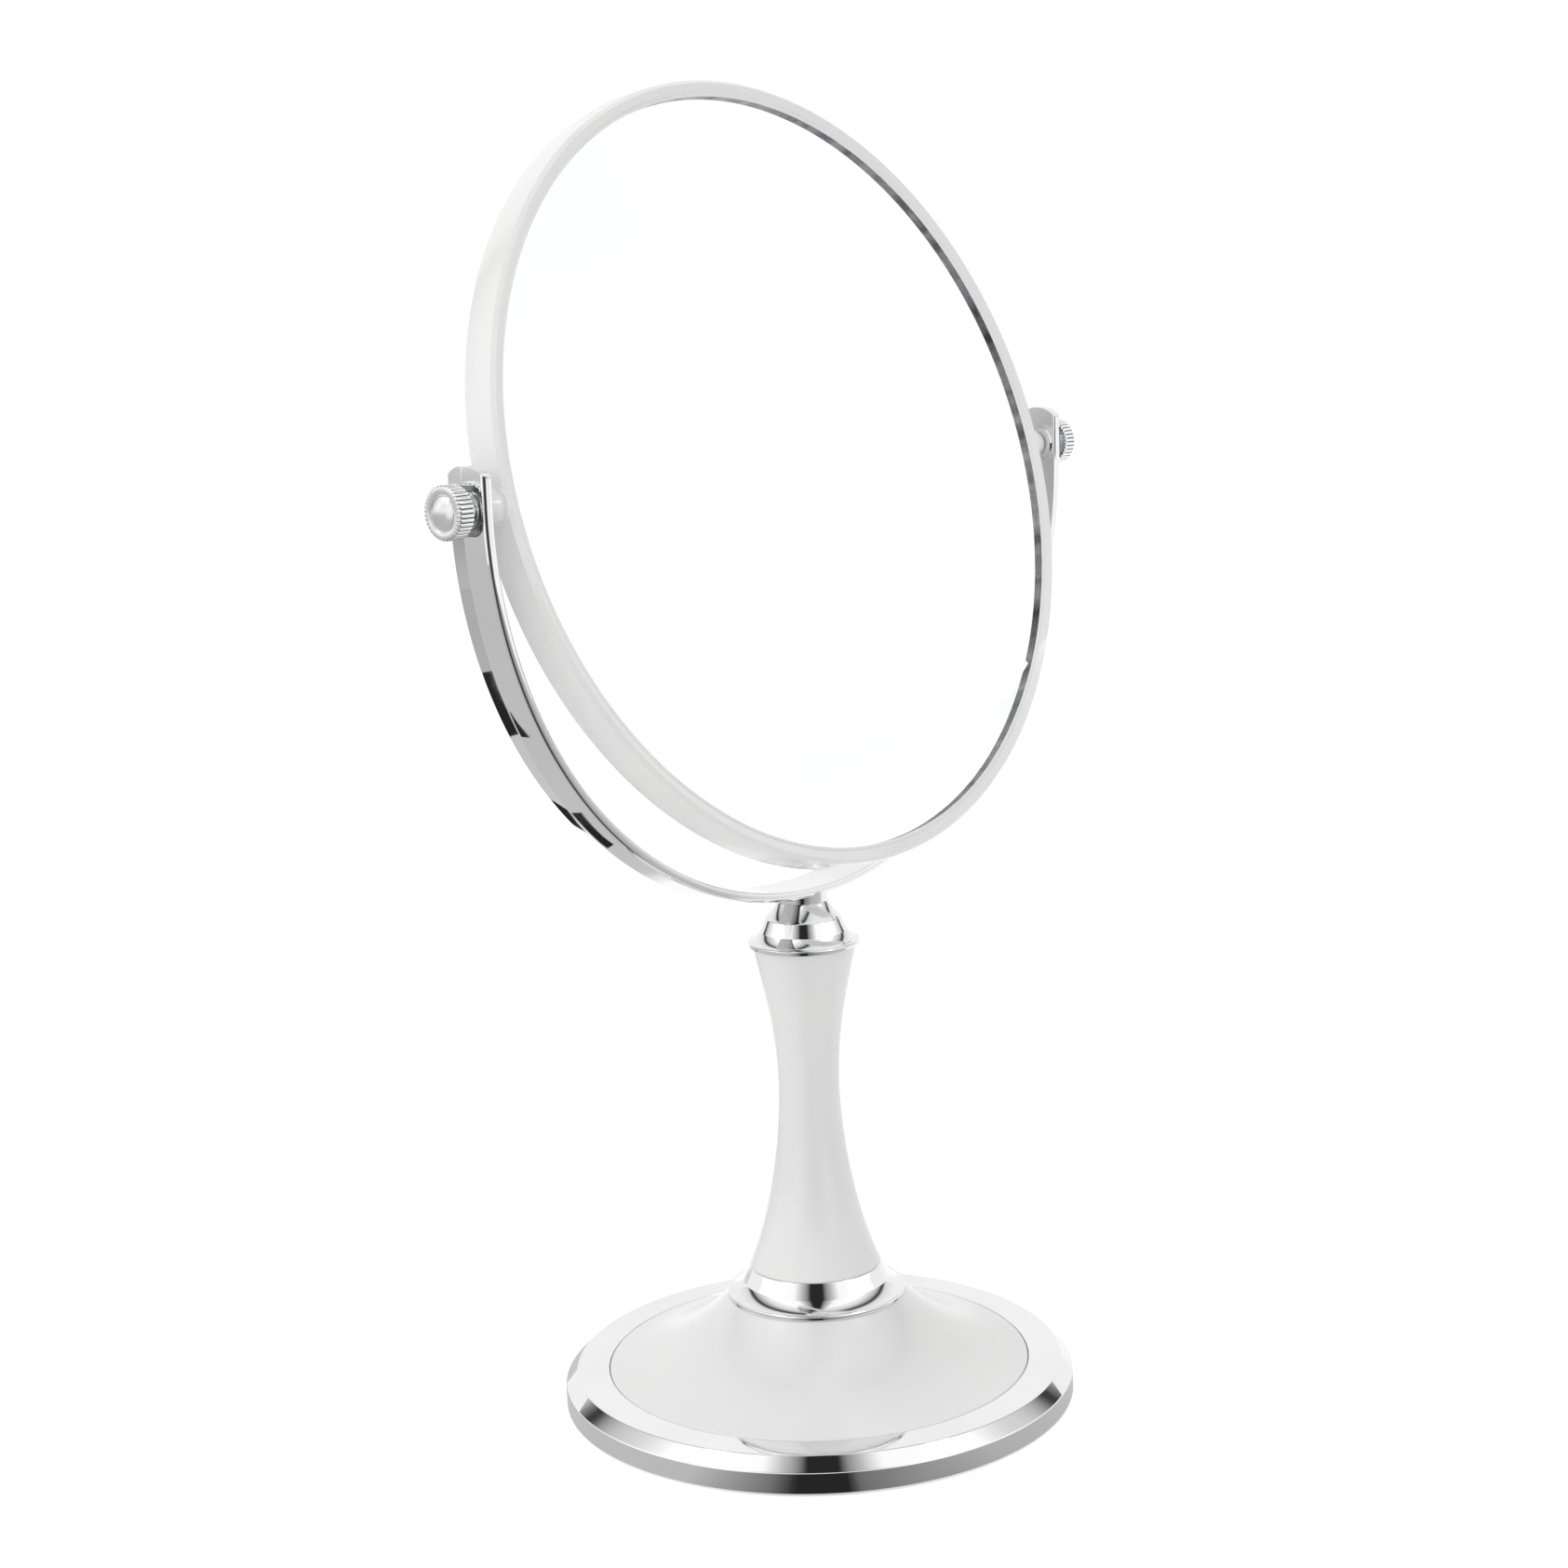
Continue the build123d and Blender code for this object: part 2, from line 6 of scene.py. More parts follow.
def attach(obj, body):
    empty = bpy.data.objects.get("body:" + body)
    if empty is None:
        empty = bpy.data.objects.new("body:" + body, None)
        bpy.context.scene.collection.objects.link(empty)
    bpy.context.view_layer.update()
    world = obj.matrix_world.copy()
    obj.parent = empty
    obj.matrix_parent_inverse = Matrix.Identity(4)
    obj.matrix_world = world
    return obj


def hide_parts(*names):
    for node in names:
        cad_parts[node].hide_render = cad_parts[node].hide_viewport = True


# The looks of a pedestal vanity mirror. Sizes are in millimetres, as on the drawing, and MM turns
# them into the scene's metres. +Z is up, the front is -Y and the tilting axis lies along X.
MM = 0.001

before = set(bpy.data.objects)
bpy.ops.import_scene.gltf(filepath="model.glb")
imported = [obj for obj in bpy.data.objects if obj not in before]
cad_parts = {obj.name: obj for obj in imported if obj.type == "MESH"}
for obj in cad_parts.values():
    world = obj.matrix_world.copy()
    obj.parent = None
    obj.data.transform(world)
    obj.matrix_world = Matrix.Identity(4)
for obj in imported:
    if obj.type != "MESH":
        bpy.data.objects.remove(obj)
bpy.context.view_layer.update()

# Sizes of the base, the stem and the chrome parts at its ends
base_radius = 67.0
ring_lift = 0.6
ring_wall_top = 5.9
ring_top = 9.2
ring_flat_radius = 63.7
ring_inner_radius = 55.4
ring_wall = 2.1
ring_underside = ring_top - ring_wall
pad_radius = 62.5
pad_thickness = 1.2
cone_edge_radius = 55.25
cone_top_radius = 23.2
cone_top = 27.6
cone_wall = 2.2
cone_flare_radius = 58.0
cone_cavity_radius = 44.0
cone_flange_radius = 58.65
cone_flange_bottom = 5.1
rod_hole_radius = 2.75
collar_radius = 23.4
stem_bottom = 35.6
stem_waist = 83.7
stem_top = 121.5
stem_bottom_radius = 17.3
stem_waist_radius = 8.04
stem_top_radius = 13.6
stem_bore_radius = 6.04
spigot_inset = 3.9
spigot_height = 2.5
spigot_wall = 2.0
seat_slip = 0.1
seat_depth = 4.5
lip_height = 1.3
lip_shoulder = 0.9
lip_chamfer = 0.3
# Steps out and up: the first from the lip's inner edge, the others from the end's radius
collar_flare = ((-1.3, 0.65), (2.7, 1.7), (1.9, 2.75), (0.9, 4.85))
cap_flare = ((-0.8, 0.4), (2.1, 1.4), (1.45, 2.5), (0.65, 4.35))
cap_lip_radius = 14.5
cap_step_radius = 9.9
cap_step = 128.7
cap_neck_start_radius = 9.55
cap_neck_start = 128.95
cap_neck_radius = 6.6
cap_neck_bend = (0.4, 0.5)
cap_top = 133.1

# Leads of the stem's outline, as shares of the step in to the waist and of the stem's height
foot_lead = (0.84, 0.211)
waist_lead_down = 0.09
waist_lead_up = 0.15
head_lead = (0.696, 0.189)

# Sizes of the yoke
pivot_height = 242.4
yoke_inner_radius = 105.0
yoke_corner_radius = 107.4
yoke_ridge_radius = 108.7
yoke_half_width = 6.4
yoke_inner_ease = 0.85
yoke_outer_ease = 1.2
yoke_ridge_ease = 0.3
ear_arch_reach = 130.0
ear_cutter_length = 240.0
ear_top = 9.9
ear_shoulder = 7.1
pocket_width = 9.8
pocket_height = 11.5
pocket_corner = 2.0
pocket_floor = 107.3
pocket_cutter_depth = 9.0
seat_radius = 4.8
seat_face = 104.5
screw_hole_radius = 2.1
rod_hole_top = 137.3
yoke_boss_top = 136.0

# Sizes of the mirror head, along its face normal from the tilting axis
mirror_tilt = math.radians(15.1)
rim_radius = 99.9
rim_front_radius = 99.3
rim_rear_radius = 99.7
rim_front = 5.0
rim_rear = -5.1
rim_corner = 0.9
rim_wall_inner = 98.1
lip_radius = 95.3
lip_edge = 3.9
lip_slope_start = 4.1
bead_width = 1.0
bead_height = 0.4
glass_seat = 2.7
glass_back = 0.7
glass_radius = 97.7
magnifier_edge = -3.8
magnifier_middle = -2.0
magnifier_front = -0.2
magnifier_radius = 97.0
rear_outer = 98.05
rear_skirt_inner = 97.15
skirt_end = -1.8
boss_radius = 4.2
boss_tip_radius = 3.3
boss_end = 104.2
boss_sink = 0.1
boss_root = 0.9
insert_radius = 2.7
insert_start = 99.0

# Sizes of the thumb screws and washers, along the tilting axis
flat_washer_radius = 4.5
flat_washer_top = 108.1
spring_washer_radius = 4.0
spring_washer_base = 108.15
spring_washer_top = 109.1
spring_washer_split = 0.6
knob_neck_radius = 3.2
knob_neck_start = 109.15
knob_back = 110.45
knob_face = 114.75
knob_radius = 6.25
knob_edge = 0.35
knob_bore_radius = 2.05
knob_bore_end = 113.05
dome_radius = 3.9
dome_height = 1.0
groove_radius = 4.4
groove_depth = 0.4
flute_count = 36
columns_in_flute = 8
flute_depths = (0.38, 0.17, 0.045)

up = Vector((0, 0, 1))
sideways = Vector((1, 0, 0))
origin = Vector((0, 0, 0))
pivot = Vector((0, 0, pivot_height * MM))
face_normal = Vector((0, -math.cos(mirror_tilt), math.sin(mirror_tilt)))
face_up = Vector((0, math.sin(mirror_tilt), math.cos(mirror_tilt)))
sides = (-1, 1)


def let_go():
    """Leave edit mode and deselect everything."""
    if bpy.context.object and bpy.context.object.mode != "OBJECT":
        bpy.ops.object.mode_set(mode="OBJECT")
    bpy.ops.object.select_all(action="DESELECT")


def take(piece):
    """Select one piece alone and make it active."""
    let_go()
    piece.select_set(True)
    bpy.context.view_layer.objects.active = piece


def settle(piece):
    """Put the piece's origin at the frame's, with its place in its mesh."""
    take(piece)
    bpy.ops.object.transform_apply(location=True, rotation=True, scale=True)


def tidy_mesh():
    """In edit mode, close seams and poles and turn all faces outwards."""
    bpy.ops.mesh.select_all(action="SELECT")
    bpy.ops.mesh.remove_doubles(threshold=0.001 * MM)
    bpy.ops.mesh.normals_make_consistent(inside=False)


def start_picking(kind):
    """Deselect all and leave edit mode, to pick vertices, edges or faces."""
    bpy.ops.mesh.select_mode(type=kind)
    bpy.ops.mesh.select_all(action="DESELECT")
    bpy.ops.object.mode_set(mode="OBJECT")


def pick_vertices(piece, test):
    """In edit mode, select the vertices whose place passes the test."""
    start_picking("VERT")
    for vertex in piece.data.vertices:
        vertex.select = test(vertex.co)
    bpy.ops.object.mode_set(mode="EDIT")


def pick_edges(piece, test):
    """In edit mode, select the edges whose two ends pass the test."""
    start_picking("EDGE")
    points = piece.data.vertices
    for edge in piece.data.edges:
        first, second = (points[index].co for index in edge.vertices)
        edge.select = test(first, second)
    bpy.ops.object.mode_set(mode="EDIT")


def pick_faces(piece, test):
    """In edit mode, select the faces whose centre and normal pass the test."""
    start_picking("FACE")
    for face in piece.data.polygons:
        face.select = test(face.center, face.normal)
    bpy.ops.object.mode_set(mode="EDIT")


def start_point(place):
    """A new piece of one vertex at a place, in edit mode."""
    let_go()
    bpy.ops.mesh.primitive_plane_add(size=MM, location=place)
    bpy.ops.object.mode_set(mode="EDIT")
    bpy.ops.mesh.select_mode(type="VERT")
    bpy.ops.mesh.merge(type="CENTER")
    return bpy.context.object


def turned(name, outline, centre, axis, across, steps):
    """A piece turned about an axis, from an outline of radii and heights along the axis."""
    spots = [centre + (across * radius + axis * height) * MM for radius, height in outline]
    piece = start_point(spots[0])
    piece.name = name
    for start, end in zip(spots, spots[1:]):
        bpy.ops.mesh.extrude_region_move(TRANSFORM_OT_translate={"value": end - start})
    bpy.ops.mesh.select_all(action="SELECT")
    bpy.ops.mesh.spin(steps=steps, angle=math.tau, center=centre, axis=axis)
    tidy_mesh()
    settle(piece)
    return piece


def apply_modifier(piece, modifier):
    """Apply one modifier to the piece."""
    take(piece)
    bpy.ops.object.modifier_apply(modifier=modifier.name)


def ease_edges(piece, width, sharper_than=20, segments=3):
    """Round the edges that are sharper than an angle in degrees."""
    bevel = piece.modifiers.new("eased edges", "BEVEL")
    bevel.width = width * MM
    bevel.segments = segments
    bevel.limit_method = "ANGLE"
    bevel.angle_limit = math.radians(sharper_than)
    apply_modifier(piece, bevel)


def smooth(piece, sharper_than=40):
    """Shade the piece smooth, keeping large flat faces flat."""
    take(piece)
    bpy.ops.object.shade_smooth_by_angle(angle=math.radians(sharper_than))
    weighted = piece.modifiers.new("flat faces", "WEIGHTED_NORMAL")
    weighted.keep_sharp = True
    apply_modifier(piece, weighted)


def soften(piece, ease):
    """Ease the piece's edges by a width and shade it smooth."""
    ease_edges(piece, ease)
    smooth(piece)


def combine(piece, tool, operation):
    """Join a tool's solid to the piece, or cut it away, and remove the tool."""
    boolean = piece.modifiers.new(operation.lower(), "BOOLEAN")
    boolean.operation = operation
    boolean.solver = "EXACT"
    boolean.object = tool
    apply_modifier(piece, boolean)
    bpy.data.objects.remove(tool)


def cylinder(radius, start, end, axis, centre=origin, sides_round=96):
    """A plain cylinder between two distances along an axis, as a tool for a cut or a join."""
    let_go()
    bpy.ops.mesh.primitive_cylinder_add(
        vertices=sides_round,
        radius=radius * MM,
        depth=(end - start) * MM,
        location=centre + axis * ((start + end) / 2 * MM),
        rotation=axis.to_track_quat("Z", "Y").to_euler(),
    )
    tool = bpy.context.object
    settle(tool)
    return tool


def dress(piece, body, slot, finish, *nodes):
    """Give the piece its finish, let it ride on its body and stand for its CAD nodes."""
    piece.data.materials.clear()
    piece.data.materials.append(finish)
    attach(piece, body)
    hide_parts(*nodes)


def arc(start, middle, end, count):
    """Points on the circle through three points of an outline."""
    (ax, ay), (bx, by), (cx, cy) = start, middle, end
    twice_area = 2 * (ax * (by - cy) + bx * (cy - ay) + cx * (ay - by))
    a, b, c = ax * ax + ay * ay, bx * bx + by * by, cx * cx + cy * cy
    x = (a * (by - cy) + b * (cy - ay) + c * (ay - by)) / twice_area
    y = (a * (cx - bx) + b * (ax - cx) + c * (bx - ax)) / twice_area
    radius = math.hypot(ax - x, ay - y)
    first = math.atan2(ay - y, ax - x)
    turn = math.atan2(cy - y, cx - x) - first
    halfway = math.atan2(by - y, bx - x) - first
    turn = (turn + math.pi) % math.tau - math.pi
    halfway = (halfway + math.pi) % math.tau - math.pi
    if abs(halfway) > abs(turn):
        turn -= math.copysign(math.tau, turn)
    angles = [first + turn * i / count for i in range(count + 1)]
    return [(x + radius * math.cos(angle), y + radius * math.sin(angle)) for angle in angles]


def curve(start, lead_out, lead_in, end, count):
    """Points on a curve that leaves its start and meets its end along two leads."""
    points = []
    for i in range(count + 1):
        t = i / count
        weights = ((1 - t) ** 3, 3 * t * (1 - t) ** 2, 3 * t * t * (1 - t), t ** 3)
        spots = (start, lead_out, lead_in, end)
        points.append([sum(w * spot[k] for w, spot in zip(weights, spots)) for k in (0, 1)])
    return points


def dish(radius, edge, middle, count):
    """Half an arc over the axis, from a radius at one height to the axis at another."""
    half = arc((radius, edge), (0, middle), (-radius, edge), 2 * count)[:count]
    return half + [(0, middle)]


def lip_flare(start, lip_top, end_radius, end, steps, count):
    """A concave flare from a lip: a curve to a bend, then two straight runs to its end."""
    lead_out, lead_in, bend, rest = steps
    return curve(
        (start, lip_top),
        (start + lead_out[0], lip_top + lead_out[1]),
        (end_radius + lead_in[0], lip_top + lead_in[1]),
        (end_radius + bend[0], lip_top + bend[1]),
        count,
    ) + [(end_radius + rest[0], lip_top + rest[1]), (end_radius, end)]


def under(outline, radius):
    """Height of an outline at a radius."""
    for (r0, h0), (r1, h1) in zip(outline, outline[1:]):
        if r1 <= radius <= r0:
            return h0 + (h1 - h0) * (r0 - radius) / (r0 - r1)


# Finishes
def new_material(name):
    """A new material with its node tree, its shader and the socket for its surface."""
    material = bpy.data.materials.new(name)
    material.use_nodes = True
    tree = material.node_tree
    surface = tree.nodes["Material Output"].inputs["Surface"]
    return material, tree, tree.nodes["Principled BSDF"], surface


class Finish:
    """A material in the making, whose textures lie in the object's own coordinates."""

    def __init__(self, name, metallic=0.0):
        self.material, self.tree, self.shader, _ = new_material(name)
        self.shader.inputs["Metallic"].default_value = metallic
        self.place = self.tree.nodes.new("ShaderNodeTexCoord").outputs["Object"]

    def texture(self, kind, scale):
        """A texture at a scale in features a metre."""
        texture = self.tree.nodes.new(kind)
        texture.inputs["Scale"].default_value = scale
        self.tree.links.new(self.place, texture.inputs["Vector"])
        return texture

    def noise(self, scale, detail=2.0):
        """A noise at a scale in features a metre."""
        texture = self.texture("ShaderNodeTexNoise", scale)
        texture.inputs["Detail"].default_value = detail
        return texture.outputs["Fac"]

    def colours(self, value, first, second):
        """Blend the shader's colour from one to another by the middle of a value's range."""
        ramp = self.tree.nodes.new("ShaderNodeValToRGB")
        start, end = ramp.color_ramp.elements
        start.position, end.position = 0.35, 0.65
        start.color, end.color = (*first, 1), (*second, 1)
        self.tree.links.new(value, ramp.inputs["Fac"])
        self.tree.links.new(ramp.outputs["Color"], self.shader.inputs["Base Color"])

    def roughness(self, value, low, high):
        """Spread the shader's roughness between two limits by the middle of a value's range."""
        spreader = self.tree.nodes.new("ShaderNodeMapRange")
        for name, limit in (("From Min", 0.3), ("From Max", 0.7), ("To Min", low), ("To Max", high)):
            spreader.inputs[name].default_value = limit
        self.tree.links.new(value, spreader.inputs["Value"])
        self.tree.links.new(spreader.outputs["Result"], self.shader.inputs["Roughness"])

    def relief(self, value, depth):
        """Let the surface rise and fall with a value, by a depth in millimetres."""
        bump = self.tree.nodes.new("ShaderNodeBump")
        bump.inputs["Strength"].default_value = 1.0
        bump.inputs["Distance"].default_value = depth * MM
        self.tree.links.new(value, bump.inputs["Height"])
        self.tree.links.new(bump.outputs["Normal"], self.shader.inputs["Normal"])


def bright_chrome():
    """Bright chrome plate with a faint swell in it and a trace of handling."""
    finish = Finish("bright chrome plate", metallic=1.0)
    finish.colours(finish.noise(35), (0.83, 0.83, 0.835), (0.87, 0.87, 0.875))
    finish.roughness(finish.noise(120, 4), 0.02, 0.055)
    finish.relief(finish.noise(90), 0.01)
    return finish.material


def satin_chrome():
    """Chrome with a satin lustre, for the knobs' faces."""
    finish = Finish("satin chrome plate", metallic=1.0)
    finish.colours(finish.noise(300), (0.74, 0.74, 0.745), (0.79, 0.79, 0.795))
    finish.roughness(finish.noise(500, 4), 0.2, 0.28)
    finish.relief(finish.noise(900), 0.0005)
    return finish.material


def pocket_shade_chrome():
    """Chrome darkened as painted shade, for the recesses of a pocket or a flute."""
    finish = Finish("thin chrome plate", metallic=1.0)
    finish.colours(finish.noise(300), (0.24, 0.24, 0.245), (0.34, 0.34, 0.345))
    finish.roughness(finish.noise(500, 4), 0.1, 0.18)
    finish.relief(finish.noise(400), 0.001)
    return finish.material


def white_moulding():
    """Glossy white moulding with the faint ripple of moulded plastic."""
    finish = Finish("glossy white moulding")
    finish.colours(finish.noise(22), (0.83, 0.83, 0.83), (0.86, 0.86, 0.855))
    finish.roughness(finish.noise(150, 4), 0.13, 0.2)
    finish.shader.inputs["Coat Weight"].default_value = 0.25
    finish.shader.inputs["Coat Roughness"].default_value = 0.04
    finish.relief(finish.noise(60), 0.012)
    return finish.material


def silvered_glass():
    """Silvered mirror glass with a trace of wiping."""
    finish = Finish("silvered glass", metallic=1.0)
    finish.colours(finish.noise(9), (0.93, 0.935, 0.935), (0.95, 0.955, 0.955))
    finish.roughness(finish.noise(45, 5), 0.0, 0.012)
    return finish.material


def painted_lip_shade_finish():
    """Painted shade on the wall under the rim's lip, broken by brighter flecks."""
    finish = Finish("painted shade under the lip", metallic=0.8)
    finish.colours(finish.noise(190, 3), (0.10, 0.10, 0.105), (0.34, 0.34, 0.35))
    finish.roughness(finish.noise(300), 0.18, 0.35)
    return finish.material


def zinc_plate():
    """Zinc plated steel with fine mottling."""
    finish = Finish("zinc plated steel", metallic=1.0)
    finish.colours(finish.noise(400, 4), (0.66, 0.67, 0.68), (0.76, 0.77, 0.78))
    finish.roughness(finish.noise(900, 3), 0.08, 0.15)
    finish.relief(finish.noise(700), 0.0005)
    return finish.material


def turned_brass():
    """Turned brass with fine tool rings along the tilting axis."""
    finish = Finish("turned brass", metallic=1.0)
    finish.colours(finish.noise(500), (0.64, 0.47, 0.2), (0.76, 0.6, 0.32))
    rings = finish.texture("ShaderNodeTexWave", 1800).outputs["Fac"]
    finish.roughness(rings, 0.2, 0.34)
    finish.relief(rings, 0.01)
    return finish.material


def raw_casting():
    """Raw cast iron with a sandy skin."""
    finish = Finish("raw iron casting", metallic=0.6)
    finish.colours(finish.noise(260, 6), (0.09, 0.09, 0.095), (0.2, 0.195, 0.19))
    finish.roughness(finish.noise(600), 0.6, 0.85)
    finish.relief(finish.noise(1100, 5), 0.15)
    return finish.material


def black_moulding():
    """Matt black moulding with a fine grain."""
    finish = Finish("matt black moulding")
    finish.colours(finish.noise(180), (0.022, 0.022, 0.024), (0.036, 0.036, 0.038))
    finish.roughness(finish.noise(700), 0.45, 0.6)
    finish.relief(finish.noise(2200, 3), 0.04)
    return finish.material


def foam():
    """Closed-cell foam, dark grey with its cells as small dimples."""
    finish = Finish("closed-cell foam")
    finish.colours(finish.noise(90, 4), (0.035, 0.035, 0.037), (0.06, 0.06, 0.063))
    finish.roughness(finish.noise(500), 0.8, 0.95)
    finish.relief(finish.texture("ShaderNodeTexVoronoi", 1400).outputs["Distance"], 0.12)
    return finish.material


chrome = bright_chrome()
satin = satin_chrome()
painted_recess_shade = pocket_shade_chrome()
white_plastic = white_moulding()
mirror = silvered_glass()
painted_lip_shade = painted_lip_shade_finish()
zinc = zinc_plate()
brass = turned_brass()
iron = raw_casting()
black_plastic = black_moulding()
foam_finish = foam()
hidden_nodes = (
    (black_plastic, ["bottom_cover"]),
    (iron, ["base_weight"]),
    (foam_finish, ["spacer_pads"]),
    (brass, ["threaded_insert_left", "threaded_insert_right"]),
    (zinc, ["cover_screws", "tie_rod", "tie_rod_nut", "tie_rod_washer", "knob_screw_left",
            "knob_screw_right"]),
)


# Base
def make_base():
    """The chrome ring, the white cone and the foam pad."""
    ring = turned("chrome_base_ring", [
        (base_radius - ring_wall, ring_lift),
        (base_radius, ring_lift),
        (base_radius, ring_wall_top),
        (ring_flat_radius, ring_top),
        (ring_inner_radius, ring_top),
        (ring_inner_radius, ring_underside),
        (ring_flat_radius - ring_wall / 2, ring_underside),
        (base_radius - ring_wall, ring_wall_top - ring_wall / 2),
        (base_radius - ring_wall, ring_lift),
    ], origin, up, sideways, 192)
    soften(ring, 0.3)
    dress(ring, "base", "chrome", chrome, "base_ring")

    run, rise = cone_top_radius - cone_edge_radius, cone_top - ring_top
    chord = math.hypot(run, rise)
    bow = cone_flare_radius - math.sqrt(cone_flare_radius ** 2 - chord ** 2 / 4)
    flare_middle = (
        (cone_edge_radius + cone_top_radius) / 2 - bow * rise / chord,
        (ring_top + cone_top) / 2 + bow * run / chord,
    )
    flare = arc((cone_edge_radius, ring_top), flare_middle, (cone_top_radius, cone_top), 28)
    step = under(flare, cone_cavity_radius) - cone_wall
    cone = turned("white_base_cone", flare + [
        (rod_hole_radius, cone_top),
        (rod_hole_radius, cone_top - cone_wall),
        (cone_top_radius - cone_wall, cone_top - cone_wall),
        (cone_top_radius - cone_wall, step),
        (cone_cavity_radius, step),
        (cone_cavity_radius, cone_flange_bottom),
        (cone_flange_radius, cone_flange_bottom),
        (cone_flange_radius, ring_underside),
        (cone_edge_radius, ring_underside),
        (cone_edge_radius, ring_top),
    ], origin, up, sideways, 192)
    soften(cone, 0.35)
    dress(cone, "base", "white_gloss", white_plastic, "base_cone")

    pad = turned("foam_base_pad", [
        (0, 0), (pad_radius, 0), (pad_radius, pad_thickness), (0, pad_thickness),
    ], origin, up, sideways, 128)
    soften(pad, 0.3)
    dress(pad, "base", "foam_pad", foam_finish, "anti_slip_pad")


# Stem and the chrome parts at its ends
def make_pedestal():
    """The chrome collar, the white stem and the chrome cap."""
    lower_spigot = stem_bottom_radius - spigot_inset
    upper_spigot = stem_top_radius - spigot_inset
    collar_lip_top = cone_top + lip_height
    flare_start = collar_radius - lip_shoulder
    flare = lip_flare(flare_start, collar_lip_top, stem_bottom_radius, stem_bottom, collar_flare, 20)
    collar = turned("chrome_stem_collar", [
        (collar_radius, cone_top),
        (collar_radius, collar_lip_top - lip_chamfer),
        (collar_radius - lip_chamfer, collar_lip_top),
        *flare,
        (lower_spigot, stem_bottom),
        (lower_spigot, stem_bottom + spigot_height),
        (lower_spigot - spigot_wall, stem_bottom + spigot_height),
        (lower_spigot - spigot_wall, cone_top),
        (collar_radius, cone_top),
    ], origin, up, sideways, 160)
    soften(collar, 0.2)
    dress(collar, "base", "chrome", chrome, "lower_collar")

    height = stem_top - stem_bottom
    lower = curve(
        (stem_bottom_radius, stem_bottom),
        (stem_bottom_radius + foot_lead[0] * (stem_waist_radius - stem_bottom_radius),
         stem_bottom + foot_lead[1] * height),
        (stem_waist_radius, stem_waist - waist_lead_down * height),
        (stem_waist_radius, stem_waist),
        26,
    )
    upper = curve(
        (stem_waist_radius, stem_waist),
        (stem_waist_radius, stem_waist + waist_lead_up * height),
        (stem_top_radius + head_lead[0] * (stem_waist_radius - stem_top_radius),
         stem_top - head_lead[1] * height),
        (stem_top_radius, stem_top),
        22,
    )
    stem = turned("white_stem", lower + upper[1:] + [
        (upper_spigot + seat_slip, stem_top),
        (upper_spigot + seat_slip, stem_top - seat_depth),
        (stem_bore_radius, stem_top - seat_depth),
        (stem_bore_radius, stem_bottom + seat_depth),
        (lower_spigot + seat_slip, stem_bottom + seat_depth),
        (lower_spigot + seat_slip, stem_bottom),
        (stem_bottom_radius, stem_bottom),
    ], origin, up, sideways, 128)
    soften(stem, 0.3)
    dress(stem, "base", "white_gloss", white_plastic, "stem")

    cap_lip_top = stem_top + lip_height
    bell_start = cap_lip_radius - lip_shoulder
    bell = lip_flare(bell_start, cap_lip_top, cap_step_radius, cap_step, cap_flare, 18)
    neck = arc(
        (cap_neck_start_radius, cap_neck_start),
        (cap_neck_radius + cap_neck_bend[0] * (cap_neck_start_radius - cap_neck_radius),
         cap_neck_start + cap_neck_bend[1] * (cap_top - cap_neck_start)),
        (cap_neck_radius, cap_top),
        12,
    )
    cap = turned("chrome_stem_cap", [
        (upper_spigot, stem_top),
        (cap_lip_radius, stem_top),
        (cap_lip_radius, cap_lip_top - lip_chamfer),
        (cap_lip_radius - lip_chamfer, cap_lip_top),
        *bell,
        *neck,
        (rod_hole_radius, cap_top),
        (rod_hole_radius, cap_step - spigot_wall),
        (upper_spigot - spigot_wall, cap_step - spigot_wall),
        (upper_spigot - spigot_wall, stem_top - spigot_height),
        (upper_spigot, stem_top - spigot_height),
        (upper_spigot, stem_top),
    ], origin, up, sideways, 128)
    soften(cap, 0.12)
    dress(cap, "base", "chrome", chrome, "upper_cap")


# Yoke
def along_yoke(point):
    """Distance of a point from the pivot on the ring, or from the middle plane on the ears."""
    if point.z >= pivot.z:
        return abs(point.x) / MM
    return math.hypot(point.x, point.z - pivot.z) / MM


def bevel_yoke_edges(yoke, distance, half_width, size, segments):
    """Round the long edges of the yoke that lie at a distance and a half width."""
    def on_line(point):
        return abs(along_yoke(point) - distance) < 0.02 and abs(abs(point.y) / MM - half_width) < 0.02

    pick_edges(yoke, lambda first, second: on_line(first) and on_line(second)
               and abs(first.y - second.y) < 0.5 * MM)
    bpy.ops.mesh.bevel(offset=size * MM, segments=segments, profile=0.5, affect="EDGES")


def pocket_cutter(outwards):
    """A block with rounded corners, for the pocket of one ear."""
    let_go()
    middle = pocket_floor + pocket_cutter_depth / 2
    bpy.ops.mesh.primitive_cube_add(size=MM, location=pivot + outwards * (middle * MM))
    block = bpy.context.object
    block.scale = (pocket_cutter_depth, pocket_width, pocket_height)
    settle(block)
    bpy.ops.object.mode_set(mode="EDIT")
    pick_edges(block, lambda first, second: abs(first.x - second.x) > pocket_cutter_depth / 2 * MM)
    bpy.ops.mesh.bevel(offset=pocket_corner * MM, segments=8, profile=0.5, affect="EDGES")
    bpy.ops.object.mode_set(mode="OBJECT")
    return block


